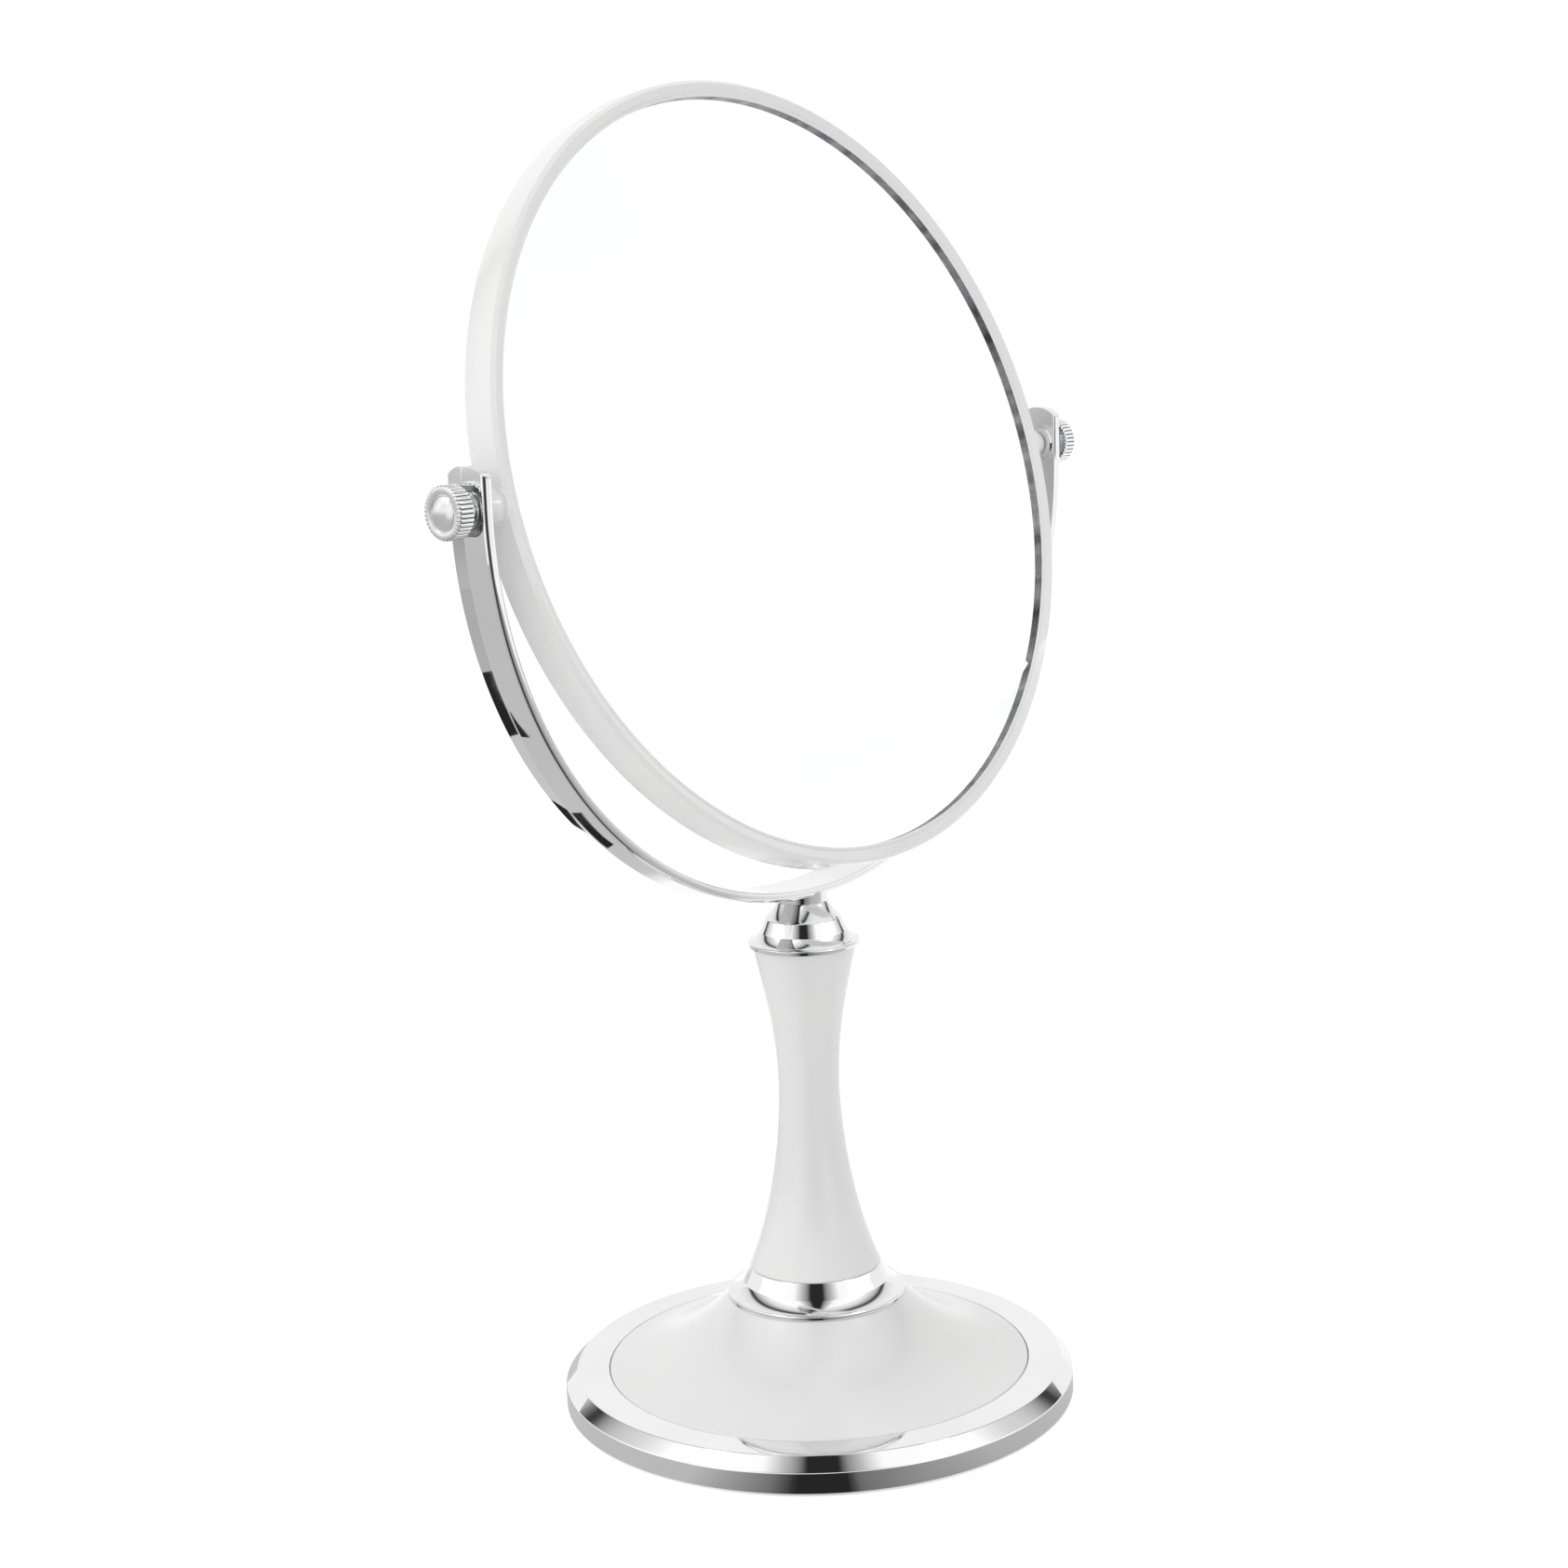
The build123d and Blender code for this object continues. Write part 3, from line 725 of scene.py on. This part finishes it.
def make_yoke():
    """The chrome half ring, from its section spun under the head, with its ears drawn up."""
    let_go()
    middle = (yoke_inner_radius + yoke_corner_radius) / 2
    bpy.ops.mesh.primitive_plane_add(size=MM, location=pivot + Vector((middle * MM, 0, 0)))
    yoke = bpy.context.object
    yoke.name = "chrome_yoke"
    settle(yoke)
    bpy.ops.object.mode_set(mode="EDIT")
    bpy.ops.mesh.select_all(action="SELECT")
    bpy.ops.transform.resize(
        value=(yoke_corner_radius - yoke_inner_radius, 2 * yoke_half_width, 1),
        center_override=pivot + Vector((middle * MM, 0, 0)),
    )
    pick_edges(yoke, lambda first, second: min(first.x, second.x) > middle * MM)
    bpy.ops.mesh.subdivide(number_cuts=1)
    pick_vertices(yoke, lambda point: abs(point.y) < 0.1 * MM and point.x > middle * MM)
    bpy.ops.transform.translate(value=((yoke_ridge_radius - yoke_corner_radius) * MM, 0, 0))
    bpy.ops.mesh.select_mode(type="FACE")
    bpy.ops.mesh.select_all(action="SELECT")
    bpy.ops.mesh.spin(steps=144, angle=math.pi, center=pivot, axis=(0, -1, 0))
    tidy_mesh()
    pick_faces(yoke, lambda place, normal: abs(place.z - pivot.z) < 0.01 * MM and normal.z > 0.9)
    bpy.ops.mesh.extrude_region_move(TRANSFORM_OT_translate={"value": (0, 0, ear_top * MM)})
    bevel_yoke_edges(yoke, yoke_inner_radius, yoke_half_width, yoke_inner_ease, 5)
    bevel_yoke_edges(yoke, yoke_corner_radius, yoke_half_width, yoke_outer_ease, 8)
    bevel_yoke_edges(yoke, yoke_ridge_radius, 0, yoke_ridge_ease, 2)
    tidy_mesh()
    bpy.ops.object.mode_set(mode="OBJECT")

    arch_rise = ear_top - ear_shoulder
    arch_radius = (yoke_half_width ** 2 + arch_rise ** 2) / (2 * arch_rise)
    arch_centre = pivot + up * ((ear_top - arch_radius) * MM)
    arch = cylinder(arch_radius, -ear_arch_reach, ear_arch_reach, sideways, arch_centre, 256)
    let_go()
    bpy.ops.mesh.primitive_cube_add(size=MM, location=pivot + up * ((ear_shoulder + ear_top) * MM))
    cutter = bpy.context.object
    cutter.scale = (ear_cutter_length, 4 * yoke_half_width, 2 * ear_top)
    settle(cutter)
    combine(cutter, arch, "DIFFERENCE")
    combine(yoke, cutter, "DIFFERENCE")
    ease_edges(yoke, 0.6, sharper_than=48, segments=5)
    combine(yoke, cylinder(cap_neck_radius, cap_top, yoke_boss_top, up), "UNION")
    combine(yoke, cylinder(rod_hole_radius - 0.2, cap_top - 1, rod_hole_top, up), "DIFFERENCE")
    for side in sides:
        outwards = Vector((side, 0, 0))
        seat = cylinder(seat_radius, seat_face, yoke_inner_radius + 1, outwards, pivot)
        combine(yoke, seat, "UNION")
        combine(yoke, pocket_cutter(outwards), "DIFFERENCE")
        hole = cylinder(screw_hole_radius, seat_face - 1, pocket_floor + 1, outwards, pivot, 64)
        combine(yoke, hole, "DIFFERENCE")
    ease_edges(yoke, 0.22, sharper_than=48)
    smooth(yoke, 30)
    dress(yoke, "base", "chrome", chrome, "yoke")
    # The pocket's floor and walls take the darker chrome: painted shade in the recess.
    yoke.data.materials.append(painted_recess_shade)
    for face in yoke.data.polygons:
        beside, reach, above = (abs(part) / MM for part in face.center - pivot)
        within = reach < pocket_width / 2 + 0.05 and above < pocket_height / 2 + 0.05
        on_floor = abs(beside - pocket_floor) < 0.1
        on_wall = beside > pocket_floor and abs(face.normal.x) < 0.5
        if within and (on_floor or on_wall):
            face.material_index = 1


# Mirror head
def make_head():
    """The white rims with their pivot bosses and the two glasses."""
    front = turned("white_front_rim", [
        (lip_radius, glass_seat),
        (lip_radius, lip_edge),
        (lip_radius + bead_width / 2, lip_edge + bead_height),
        (lip_radius + bead_width, lip_slope_start),
        (rim_front_radius - rim_corner, rim_front),
        (rim_front_radius, rim_front - rim_corner),
        (rim_radius, 0),
        (rim_rear_radius, rim_rear + rim_corner),
        (rim_rear_radius - rim_corner, rim_rear),
        (rim_wall_inner, rim_rear),
        (rim_wall_inner, glass_seat),
        (lip_radius, glass_seat),
    ], pivot, face_normal, face_up, 256)
    for side in sides:
        outwards = Vector((side, 0, 0))
        root_radius = boss_radius + boss_root
        root = curve(
            (root_radius, rim_radius - 0.05),
            (boss_radius + 0.2, rim_radius),
            (boss_radius, rim_radius + 0.2),
            (boss_radius - 0.1, rim_radius + boss_root),
            6,
        )
        boss = turned("pivot_boss", [
            (0, rim_wall_inner + boss_sink),
            (root_radius, rim_wall_inner + boss_sink),
            (root_radius, rim_radius - 0.05),
            *root,
            (boss_tip_radius + 0.25, boss_end - 0.8),
            (boss_tip_radius - 0.1, boss_end - 0.15),
            (boss_tip_radius - 0.5, boss_end),
            (insert_radius, boss_end),
            (insert_radius, insert_start),
            (0, insert_start),
        ], pivot, outwards, up, 72)
        combine(front, boss, "UNION")
    ease_edges(front, 0.3, sharper_than=24)
    smooth(front)
    dress(front, "mirror_head", "white_gloss", white_plastic, "front_rim")
    front.data.materials.append(painted_lip_shade)
    # The wall under the lip takes the dark finish: painted shade for the gap at the glass's edge.
    for face in front.data.polygons:
        offset = face.center - pivot
        height = offset.dot(face_normal) / MM
        reach = (offset - face_normal * offset.dot(face_normal)).length / MM
        if reach < lip_radius + 0.1 and height < lip_edge - 0.15:
            face.material_index = 1

    rear = turned("white_rear_rim", [
        (lip_radius, magnifier_edge),
        (lip_radius, rim_rear + bead_height),
        (lip_radius + bead_width, rim_rear),
        (rear_outer, rim_rear),
        (rear_outer, skirt_end),
        (rear_skirt_inner, skirt_end),
        (rear_skirt_inner, magnifier_edge),
        (lip_radius, magnifier_edge),
    ], pivot, face_normal, face_up, 256)
    soften(rear, 0.15)
    dress(rear, "mirror_head", "white_gloss", white_plastic, "rear_rim")

    glass = turned("plane_mirror_glass", [
        (0, glass_back), (glass_radius, glass_back), (glass_radius, glass_seat), (0, glass_seat),
    ], pivot, face_normal, face_up, 192)
    soften(glass, 0.3)
    dress(glass, "mirror_head", "mirror_glass", mirror, "plane_glass")

    magnifier = turned("magnifying_mirror_glass", [
        (0, magnifier_front),
        (magnifier_radius, magnifier_front),
        *dish(magnifier_radius, magnifier_edge, magnifier_middle, 32),
    ], pivot, face_normal, face_up, 192)
    smooth(magnifier)
    dress(magnifier, "mirror_head", "mirror_glass", mirror, "magnifying_glass")


# Thumb screws and washers
def make_knob():
    """The left thumb knob: turned, then fluted by drawing in the valleys of its grip."""
    outwards = Vector((-1, 0, 0))
    steps = flute_count * columns_in_flute
    knob = turned("chrome_knob_left", [
        (0, knob_bore_end),
        (knob_bore_radius, knob_bore_end),
        (knob_bore_radius, knob_neck_start),
        (knob_neck_radius, knob_neck_start),
        (knob_neck_radius, knob_back),
        (knob_radius - knob_edge, knob_back),
        (knob_radius, knob_back + knob_edge),
        (knob_radius, knob_face - knob_edge),
        (knob_radius - knob_edge, knob_face),
        (groove_radius, knob_face),
        (groove_radius - 0.08, knob_face - groove_depth),
        (dome_radius + 0.05, knob_face - groove_depth),
        *dish(dome_radius, knob_face, knob_face + dome_height, 14),
    ], pivot, outwards, up, steps)
    ease_edges(knob, 0.1, sharper_than=25, segments=2)
    take(knob)
    bpy.ops.object.mode_set(mode="EDIT")
    for column, depth in enumerate(flute_depths):
        def in_valley(point):
            offset = point - pivot
            reach = math.hypot(offset.y, offset.z) / MM
            phase = math.degrees(math.atan2(offset.z, offset.y)) * steps / 360 % columns_in_flute
            gap = min(phase, columns_in_flute - phase)
            return reach > knob_radius - knob_edge - 0.12 and abs(gap - column) < 0.2

        pick_vertices(knob, in_valley)
        share = 1 - depth / knob_radius
        bpy.ops.transform.resize(value=(1, share, share), center_override=pivot)
    bpy.ops.object.mode_set(mode="OBJECT")
    smooth(knob, 32)
    return knob


def make_flat_washer():
    """The left flat washer, with rounded edges."""
    outwards = Vector((-1, 0, 0))
    washer = turned("flat_washer_ring_left", [
        (screw_hole_radius, pocket_floor),
        (flat_washer_radius, pocket_floor),
        (flat_washer_radius, flat_washer_top),
        (screw_hole_radius, flat_washer_top),
        (screw_hole_radius, pocket_floor),
    ], pivot, outwards, up, 96)
    soften(washer, 0.15)
    return washer


def make_spring_washer():
    """The left spring washer: a section spun from one side of its split to the other."""
    let_go()
    width = spring_washer_radius - screw_hole_radius
    thickness = spring_washer_top - spring_washer_base
    reach = screw_hole_radius + width / 2
    half_split = math.asin(spring_washer_split / 2 / reach)
    place = pivot - sideways * ((spring_washer_base + thickness / 2) * MM) + up * (reach * MM)
    bpy.ops.mesh.primitive_plane_add(size=MM, location=place, rotation=(math.pi / 2, 0, 0))
    washer = bpy.context.object
    washer.name = "spring_washer_ring_left"
    washer.scale = (thickness, width, 1)
    settle(washer)
    bpy.ops.object.mode_set(mode="EDIT")
    bpy.ops.mesh.select_all(action="SELECT")
    bpy.ops.transform.rotate(value=half_split, orient_axis="X", center_override=pivot)
    bpy.ops.mesh.spin(steps=72, angle=math.tau - 2 * half_split, center=pivot, axis=(1, 0, 0))
    tidy_mesh()
    bpy.ops.object.mode_set(mode="OBJECT")
    soften(washer, 0.12)
    return washer


def copy_to_right(piece):
    """A copy of a left piece with its own mesh, mirrored to the right side."""
    take(piece)
    bpy.ops.object.duplicate()
    copy = bpy.context.object
    copy.name = piece.name.replace("left", "right")
    bpy.ops.object.mode_set(mode="EDIT")
    bpy.ops.mesh.select_all(action="SELECT")
    bpy.ops.transform.resize(value=(-1, 1, 1), center_override=(0, 0, 0))
    bpy.ops.mesh.normals_make_consistent(inside=False)
    bpy.ops.object.mode_set(mode="OBJECT")
    smooth(copy, 32)
    return copy


def make_thumb_screws():
    """The knobs and washers of both sides."""
    left = [make_knob(), make_flat_washer(), make_spring_washer()]
    right = [copy_to_right(piece) for piece in left]
    for name, (knob, flat, spring) in (("left", left), ("right", right)):
        dress(knob, f"{name}_knob", "chrome", chrome, f"knob_{name}")
        knob.data.materials.append(satin)
        # The flutes' valleys take the darker chrome: painted shade in the recesses.
        knob.data.materials.append(painted_recess_shade)
        for face in knob.data.polygons:
            beside = abs(face.center.x) / MM
            reach = math.hypot(face.center.y, face.center.z - pivot.z) / MM
            on_grip = knob_back + knob_edge < beside < knob_face - knob_edge
            if beside > knob_face - groove_depth - 0.05 and abs(face.normal.x) > 0.7:
                face.material_index = 1
            elif on_grip and reach < knob_radius - 0.22:
                face.material_index = 2
        dress(flat, "base", "zinc_steel", zinc, f"flat_washer_{name}")
        dress(spring, f"{name}_washer", "zinc_steel", zinc, f"spring_washer_{name}")


# Studio, with its floor and tent in metres and its cards in millimetres
camera_bearing = -138.4
towards_camera = Vector((-0.748, -0.664, 0))
floor_radius = 4.0
tent_radius = 0.9
tent_hem = 0.23
tent_opening = 0.53
dark_band_lean = (1.317, 1.194, 1.111)
dark_band_start = 0.6
flag_lift = 0.3
glow_radius = 110
glow_distance = 800
glow_height = 100
glow_strength = 6.0
sheet_strength = 1.07

# Painted shades that only reflections see: on the floor, across the tent's gap, up its closed part
# and along its dark band
floor_shades = (
    (0.0, 1.0), (0.08, 1.0), (0.12, 0.58), (0.25, 0.55), (0.41, 0.5), (0.465, 0.18), (0.482, 0.02),
    (0.517, 0.02), (0.524, 0.16), (0.55, 0.25), (0.62, 0.45), (0.74, 0.53), (0.78, 0.9), (1.0, 1.0),
)
gap_shades = (
    (0.0, 0.02), (0.029, 0.02), (0.045, 0.25), (0.07, 0.5), (0.105, 0.95), (0.25, 1.0),
    (0.285, 0.84), (0.32, 0.98),
)
closed_shades = ((0.0, 0.0), (0.21, 0.0), (0.24, 1.0), (0.42, 1.0), (0.45, 0.0))
dark_band_shades = (
    (0.0, 1.0), (0.05, 0.87), (0.16, 0.77), (0.28, 0.72), (0.39, 0.55), (0.49, 0.3), (0.545, 0.1),
    (0.57, 0.045), (0.6, 0.045), (0.655, 0.22), (0.72, 0.66), (0.78, 0.72), (1.0, 0.84),
)

# Cards on the floor that paint dark reflections into metal: a shade, then the two ends of the near
# edge and of the far edge
flags = {
    "back_flag": (0.02, (-165, 440), (-110, 460), (-85, 325), (-45, 345)),
    "grey_back_flag": (0.5, (-400, 790), (-235, 835), (-166, 441), (-111, 461)),
    "pale_back_flag": (0.56, (-800, 1560), (-480, 1650), (-401, 792), (-236, 837)),
    "small_back_flag": (0.02, (30, 272), (30, 300), (82, 280), (82, 305)),
    "side_flag": (0.02, (-240, 128), (-250, 160), (-198, 112), (-205, 150)),
    "small_side_flag": (0.02, (-92, 96), (-92, 102), (-44, 97), (-38, 103)),
}


def round_the_mirror(tree):
    """A socket that counts the turn round the mirror: half at the camera, nought and one behind."""
    coordinates = tree.nodes.new("ShaderNodeTexCoord")
    turner = tree.nodes.new("ShaderNodeMapping")
    turner.inputs["Rotation"].default_value = (0, 0, math.radians(-camera_bearing))
    gradient = tree.nodes.new("ShaderNodeTexGradient")
    gradient.gradient_type = "RADIAL"
    tree.links.new(coordinates.outputs["Object"], turner.inputs["Vector"])
    tree.links.new(turner.outputs["Vector"], gradient.inputs["Vector"])
    return gradient.outputs["Fac"]


def shades(tree, value, stops):
    """A shade that follows a value through stops of place and shade."""
    ramp = tree.nodes.new("ShaderNodeValToRGB")
    band = ramp.color_ramp
    band.elements.remove(band.elements[1])
    first = band.elements[0]
    first.position, shade = stops[0]
    first.color = (shade, shade, shade, 1)
    for place, shade in stops[1:]:
        band.elements.new(place).color = (shade, shade, shade, 1)
    tree.links.new(value, ramp.inputs["Fac"])
    return ramp.outputs["Color"]


def shine(tree, strength, shade=None):
    """A white glow, or a glow in a shade."""
    glow = tree.nodes.new("ShaderNodeEmission")
    glow.inputs["Strength"].default_value = strength
    if shade is not None:
        tree.links.new(shade, glow.inputs["Color"])
    return glow.outputs["Emission"]


def reckon(tree, operation, *terms):
    """A socket with the outcome of a sum, whose terms are sockets or numbers."""
    node = tree.nodes.new("ShaderNodeMath")
    node.operation = operation
    for term, socket in zip(terms, node.inputs):
        if isinstance(term, float):
            socket.default_value = term
        else:
            tree.links.new(term, socket)
    return node.outputs["Value"]


def choose(tree, share, first, second):
    """A shader that goes from the first to the second by a share."""
    mixer = tree.nodes.new("ShaderNodeMixShader")
    for value, socket in zip((share, first, second), mixer.inputs):
        tree.links.new(value, socket)
    return mixer.outputs["Shader"]


def bare_material(name):
    """A new material without its shader, with its node tree and the socket for its surface."""
    material, tree, shader, surface = new_material(name)
    tree.nodes.remove(shader)
    return material, tree, surface


def for_reflections(piece, name, material):
    """Name a piece of the studio and dress it, and leave it to reflections alone."""
    piece.name = name
    piece.data.materials.append(material)
    piece.visible_camera = False
    piece.visible_diffuse = False
    piece.visible_shadow = False
    piece.visible_transmission = False


def make_floor():
    """A pale floor that looks white to the camera and keeps the shadow. Metal sees it as a glow in
    painted shades, darkest towards the camera.
    """
    let_go()
    bpy.ops.mesh.primitive_circle_add(
        vertices=96, radius=floor_radius, fill_type="NGON", location=origin)
    floor = bpy.context.object
    floor.name = "floor"
    material, tree, shader, surface = new_material("pale floor")
    shader.inputs["Base Color"].default_value = (0.9, 0.9, 0.9, 1)
    shader.inputs["Roughness"].default_value = 0.9
    shader.inputs["Specular IOR Level"].default_value = 0.1
    lightened = tree.nodes.new("ShaderNodeAddShader")
    tree.links.new(shader.outputs["BSDF"], lightened.inputs[0])
    tree.links.new(shine(tree, 0.5), lightened.inputs[1])
    path = tree.nodes.new("ShaderNodeLightPath").outputs
    plain = choose(tree, path["Is Camera Ray"], shader.outputs["BSDF"], lightened.outputs["Shader"])
    # Reflections alone see the floor's painted shades.
    mirrored = shine(tree, 1.1, shades(tree, round_the_mirror(tree), floor_shades))
    tree.links.new(choose(tree, path["Is Glossy Ray"], plain, mirrored), surface)
    floor.data.materials.append(material)


def make_tent():
    """A glowing tent that only reflections see: painted reflections, with a dark gap towards the
    camera, closed halfway up, and a slanting painted dark band.
    """
    let_go()
    bpy.ops.mesh.primitive_uv_sphere_add(
        segments=96, ring_count=48, radius=tent_radius, location=origin)
    tent = bpy.context.object
    bpy.ops.object.mode_set(mode="EDIT")
    bpy.ops.mesh.select_all(action="SELECT")
    bpy.ops.mesh.bisect(plane_co=(0, 0, 0.0005), plane_no=up, clear_inner=True)
    pick_faces(tent, lambda place, normal: place.z < tent_hem
               and place.normalized().dot(towards_camera) < tent_opening)
    bpy.ops.mesh.delete(type="FACE")
    bpy.ops.object.mode_set(mode="OBJECT")

    painted_glow, tree, surface = bare_material("tent cloth")
    place = tree.nodes.new("ShaderNodeTexCoord").outputs["Object"]
    aside = reckon(tree, "ABSOLUTE", reckon(tree, "SUBTRACT", round_the_mirror(tree), 0.5))
    height = tree.nodes.new("ShaderNodeSeparateXYZ")
    tree.links.new(place, height.inputs["Vector"])
    gap = shades(tree, aside, gap_shades)
    closed = shades(tree, height.outputs["Z"], closed_shades)
    leaning = tree.nodes.new("ShaderNodeVectorMath")
    leaning.operation = "DOT_PRODUCT"
    leaning.inputs[1].default_value = dark_band_lean
    tree.links.new(place, leaning.inputs[0])
    # A painted dark band slants across the tent, to put dark lines into the chrome.
    slant = reckon(tree, "SUBTRACT", leaning.outputs["Value"], dark_band_start)
    dark_band = shades(tree, slant, dark_band_shades)
    light = reckon(tree, "MULTIPLY", reckon(tree, "MAXIMUM", gap, closed), dark_band)
    tree.links.new(shine(tree, 1.2, light), surface)
    for_reflections(tent, "painted_reflection_tent", painted_glow)


def make_flag(name, shade, *corners):
    """A card on the floor for a painted reflection, from the two ends of its near edge to the two
    ends of its far edge.
    """
    near, near_end, far, far_end = (Vector((x, y, flag_lift)) * MM for x, y in corners)
    flag = start_point(near)
    bpy.ops.mesh.extrude_region_move(TRANSFORM_OT_translate={"value": near_end - near})
    bpy.ops.object.mode_set(mode="OBJECT")
    settle(flag)
    bpy.ops.object.mode_set(mode="EDIT")
    bpy.ops.mesh.select_all(action="SELECT")
    bpy.ops.mesh.extrude_edges_move(TRANSFORM_OT_translate={"value": far - near})
    moved = near_end + far - near
    pick_vertices(flag, lambda point: (point - moved).length < 0.1 * MM)
    bpy.ops.transform.translate(value=far_end - moved)
    bpy.ops.object.mode_set(mode="OBJECT")
    card, _, shader, _ = new_material(name + " card")
    shader.inputs["Base Color"].default_value = (shade, shade, shade, 1)
    shader.inputs["Roughness"].default_value = 1.0
    shader.inputs["Specular IOR Level"].default_value = 0.0
    for_reflections(flag, name, card)


def make_glow(name, aside, lift):
    """A round glowing card for painted highlights, at a turn and a lift in degrees from the camera.
    """
    let_go()
    turn, rise = math.radians(aside + camera_bearing), math.radians(lift)
    away = Vector((math.cos(turn) * math.cos(rise), math.sin(turn) * math.cos(rise), math.sin(rise)))
    bpy.ops.mesh.primitive_circle_add(
        vertices=48,
        radius=glow_radius * MM,
        fill_type="NGON",
        location=(away * glow_distance + up * glow_height) * MM,
        rotation=away.to_track_quat("Z", "Y").to_euler(),
    )
    card = bpy.context.object
    settle(card)
    material, tree, surface = bare_material(name + " card")
    tree.links.new(shine(tree, glow_strength), surface)
    for_reflections(card, name, material)


def make_sheet(name, aside, start, height, slope, width, length):
    """A glowing white sheet, a painted reflection that keeps the glass light. It rises away from the
    head and shows one side.
    """
    let_go()
    turn, rise = math.radians(aside + camera_bearing), math.radians(slope)
    away = Vector((math.cos(turn), math.sin(turn), 0))
    reach, lift = length / 2 * math.cos(rise), length / 2 * math.sin(rise)
    bpy.ops.mesh.primitive_plane_add(
        size=MM,
        location=(away * (start + reach) + up * (height + lift)) * MM,
        rotation=(rise, 0, turn - math.pi / 2),
    )
    sheet = bpy.context.object
    sheet.scale = (width, length, 1)
    settle(sheet)
    material, tree, surface = bare_material(name + " cloth")
    underside = tree.nodes.new("ShaderNodeNewGeometry").outputs["Backfacing"]
    clear = tree.nodes.new("ShaderNodeBsdfTransparent").outputs["BSDF"]
    tree.links.new(choose(tree, underside, shine(tree, sheet_strength), clear), surface)
    for_reflections(sheet, name, material)


def make_world():
    """A white surround, dimmer as a light on the object than it looks."""
    world = bpy.data.worlds.new("white surround")
    bpy.context.scene.world = world
    world.use_nodes = True
    tree = world.node_tree
    backdrop = tree.nodes["Background"]
    fill = tree.nodes.new("ShaderNodeBackground")
    for background, strength in ((backdrop, 1.0), (fill, 0.7)):
        background.inputs["Color"].default_value = (1, 1, 1, 1)
        background.inputs["Strength"].default_value = strength
    path = tree.nodes.new("ShaderNodeLightPath").outputs
    seen = reckon(tree, "MAXIMUM", path["Is Glossy Ray"], path["Is Transmission Ray"])
    seen = reckon(tree, "MAXIMUM", seen, path["Is Camera Ray"])
    choice = choose(tree, seen, fill.outputs["Background"], backdrop.outputs["Background"])
    tree.links.new(choice, tree.nodes["World Output"].inputs["Surface"])


def make_light(name, place, size, power):
    """A soft box that faces the mirror's middle and isn't seen in the chrome."""
    let_go()
    spot = Vector(place) * MM
    facing = (Vector((0, 0, 0.17)) - spot).to_track_quat("-Z", "Y")
    bpy.ops.object.light_add(type="AREA", location=spot, rotation=facing.to_euler())
    lamp = bpy.context.object
    lamp.name = name
    lamp.data.shape = "SQUARE"
    lamp.data.size = size * MM
    lamp.data.energy = power
    lamp.visible_glossy = False


# The camera's angles in degrees, and its place from a point on the stem's axis
camera_turn = -48.13
camera_lift = 10.44
camera_roll = -2.13
camera_aim = Vector((0, 0, 163.37))
camera_aside = -3.59
camera_distance = 714.48
camera_lens = 64.284


def make_camera():
    """The camera at the picture's viewing angle."""
    turn, lift, roll = (math.radians(angle) for angle in (camera_turn, camera_lift, camera_roll))
    back = Vector((math.sin(turn) * math.cos(lift), -math.cos(turn) * math.cos(lift), math.sin(lift)))
    right = Vector((math.cos(turn), math.sin(turn), 0))
    level = back.cross(right)
    place = camera_aim + right * camera_aside + back * camera_distance
    rolled_right = right * math.cos(roll) + level * math.sin(roll)
    rolled_up = level * math.cos(roll) - right * math.sin(roll)
    lens = bpy.data.cameras.new("camera")
    lens.lens = camera_lens
    lens.sensor_width = 36
    lens.clip_start = 0.05
    camera = bpy.data.objects.new("camera", lens)
    bpy.context.scene.collection.objects.link(camera)
    turned_to = Matrix((rolled_right, rolled_up, back)).transposed().to_4x4()
    camera.matrix_world = Matrix.Translation(place * MM) @ turned_to
    bpy.context.scene.camera = camera


make_base()
make_pedestal()
make_yoke()
make_head()
make_thumb_screws()
for finish, nodes in hidden_nodes:
    for node in nodes:
        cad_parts[node].data.materials.clear()
        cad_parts[node].data.materials.append(finish)
make_floor()
make_tent()
for name, flag in flags.items():
    make_flag(name, *flag)
make_glow("right_glow", aside=65, lift=42)
make_glow("left_glow", aside=-60, lift=44)
make_sheet("front_sheet", aside=0, start=100, height=250, slope=60, width=600, length=600)
make_sheet("right_sheet", aside=97, start=60, height=178, slope=45, width=320, length=490)
make_world()
make_light("left_softbox", (-900, 650, 700), 700, 2.7)
make_light("right_softbox", (800, -750, 750), 700, 0.35)
make_light("front_softbox", (-850, -650, 300), 500, 0.75)
make_light("top_softbox", (-100, 0, 1300), 900, 2.6)
make_camera()
bpy.context.scene.view_settings.view_transform = "Standard"
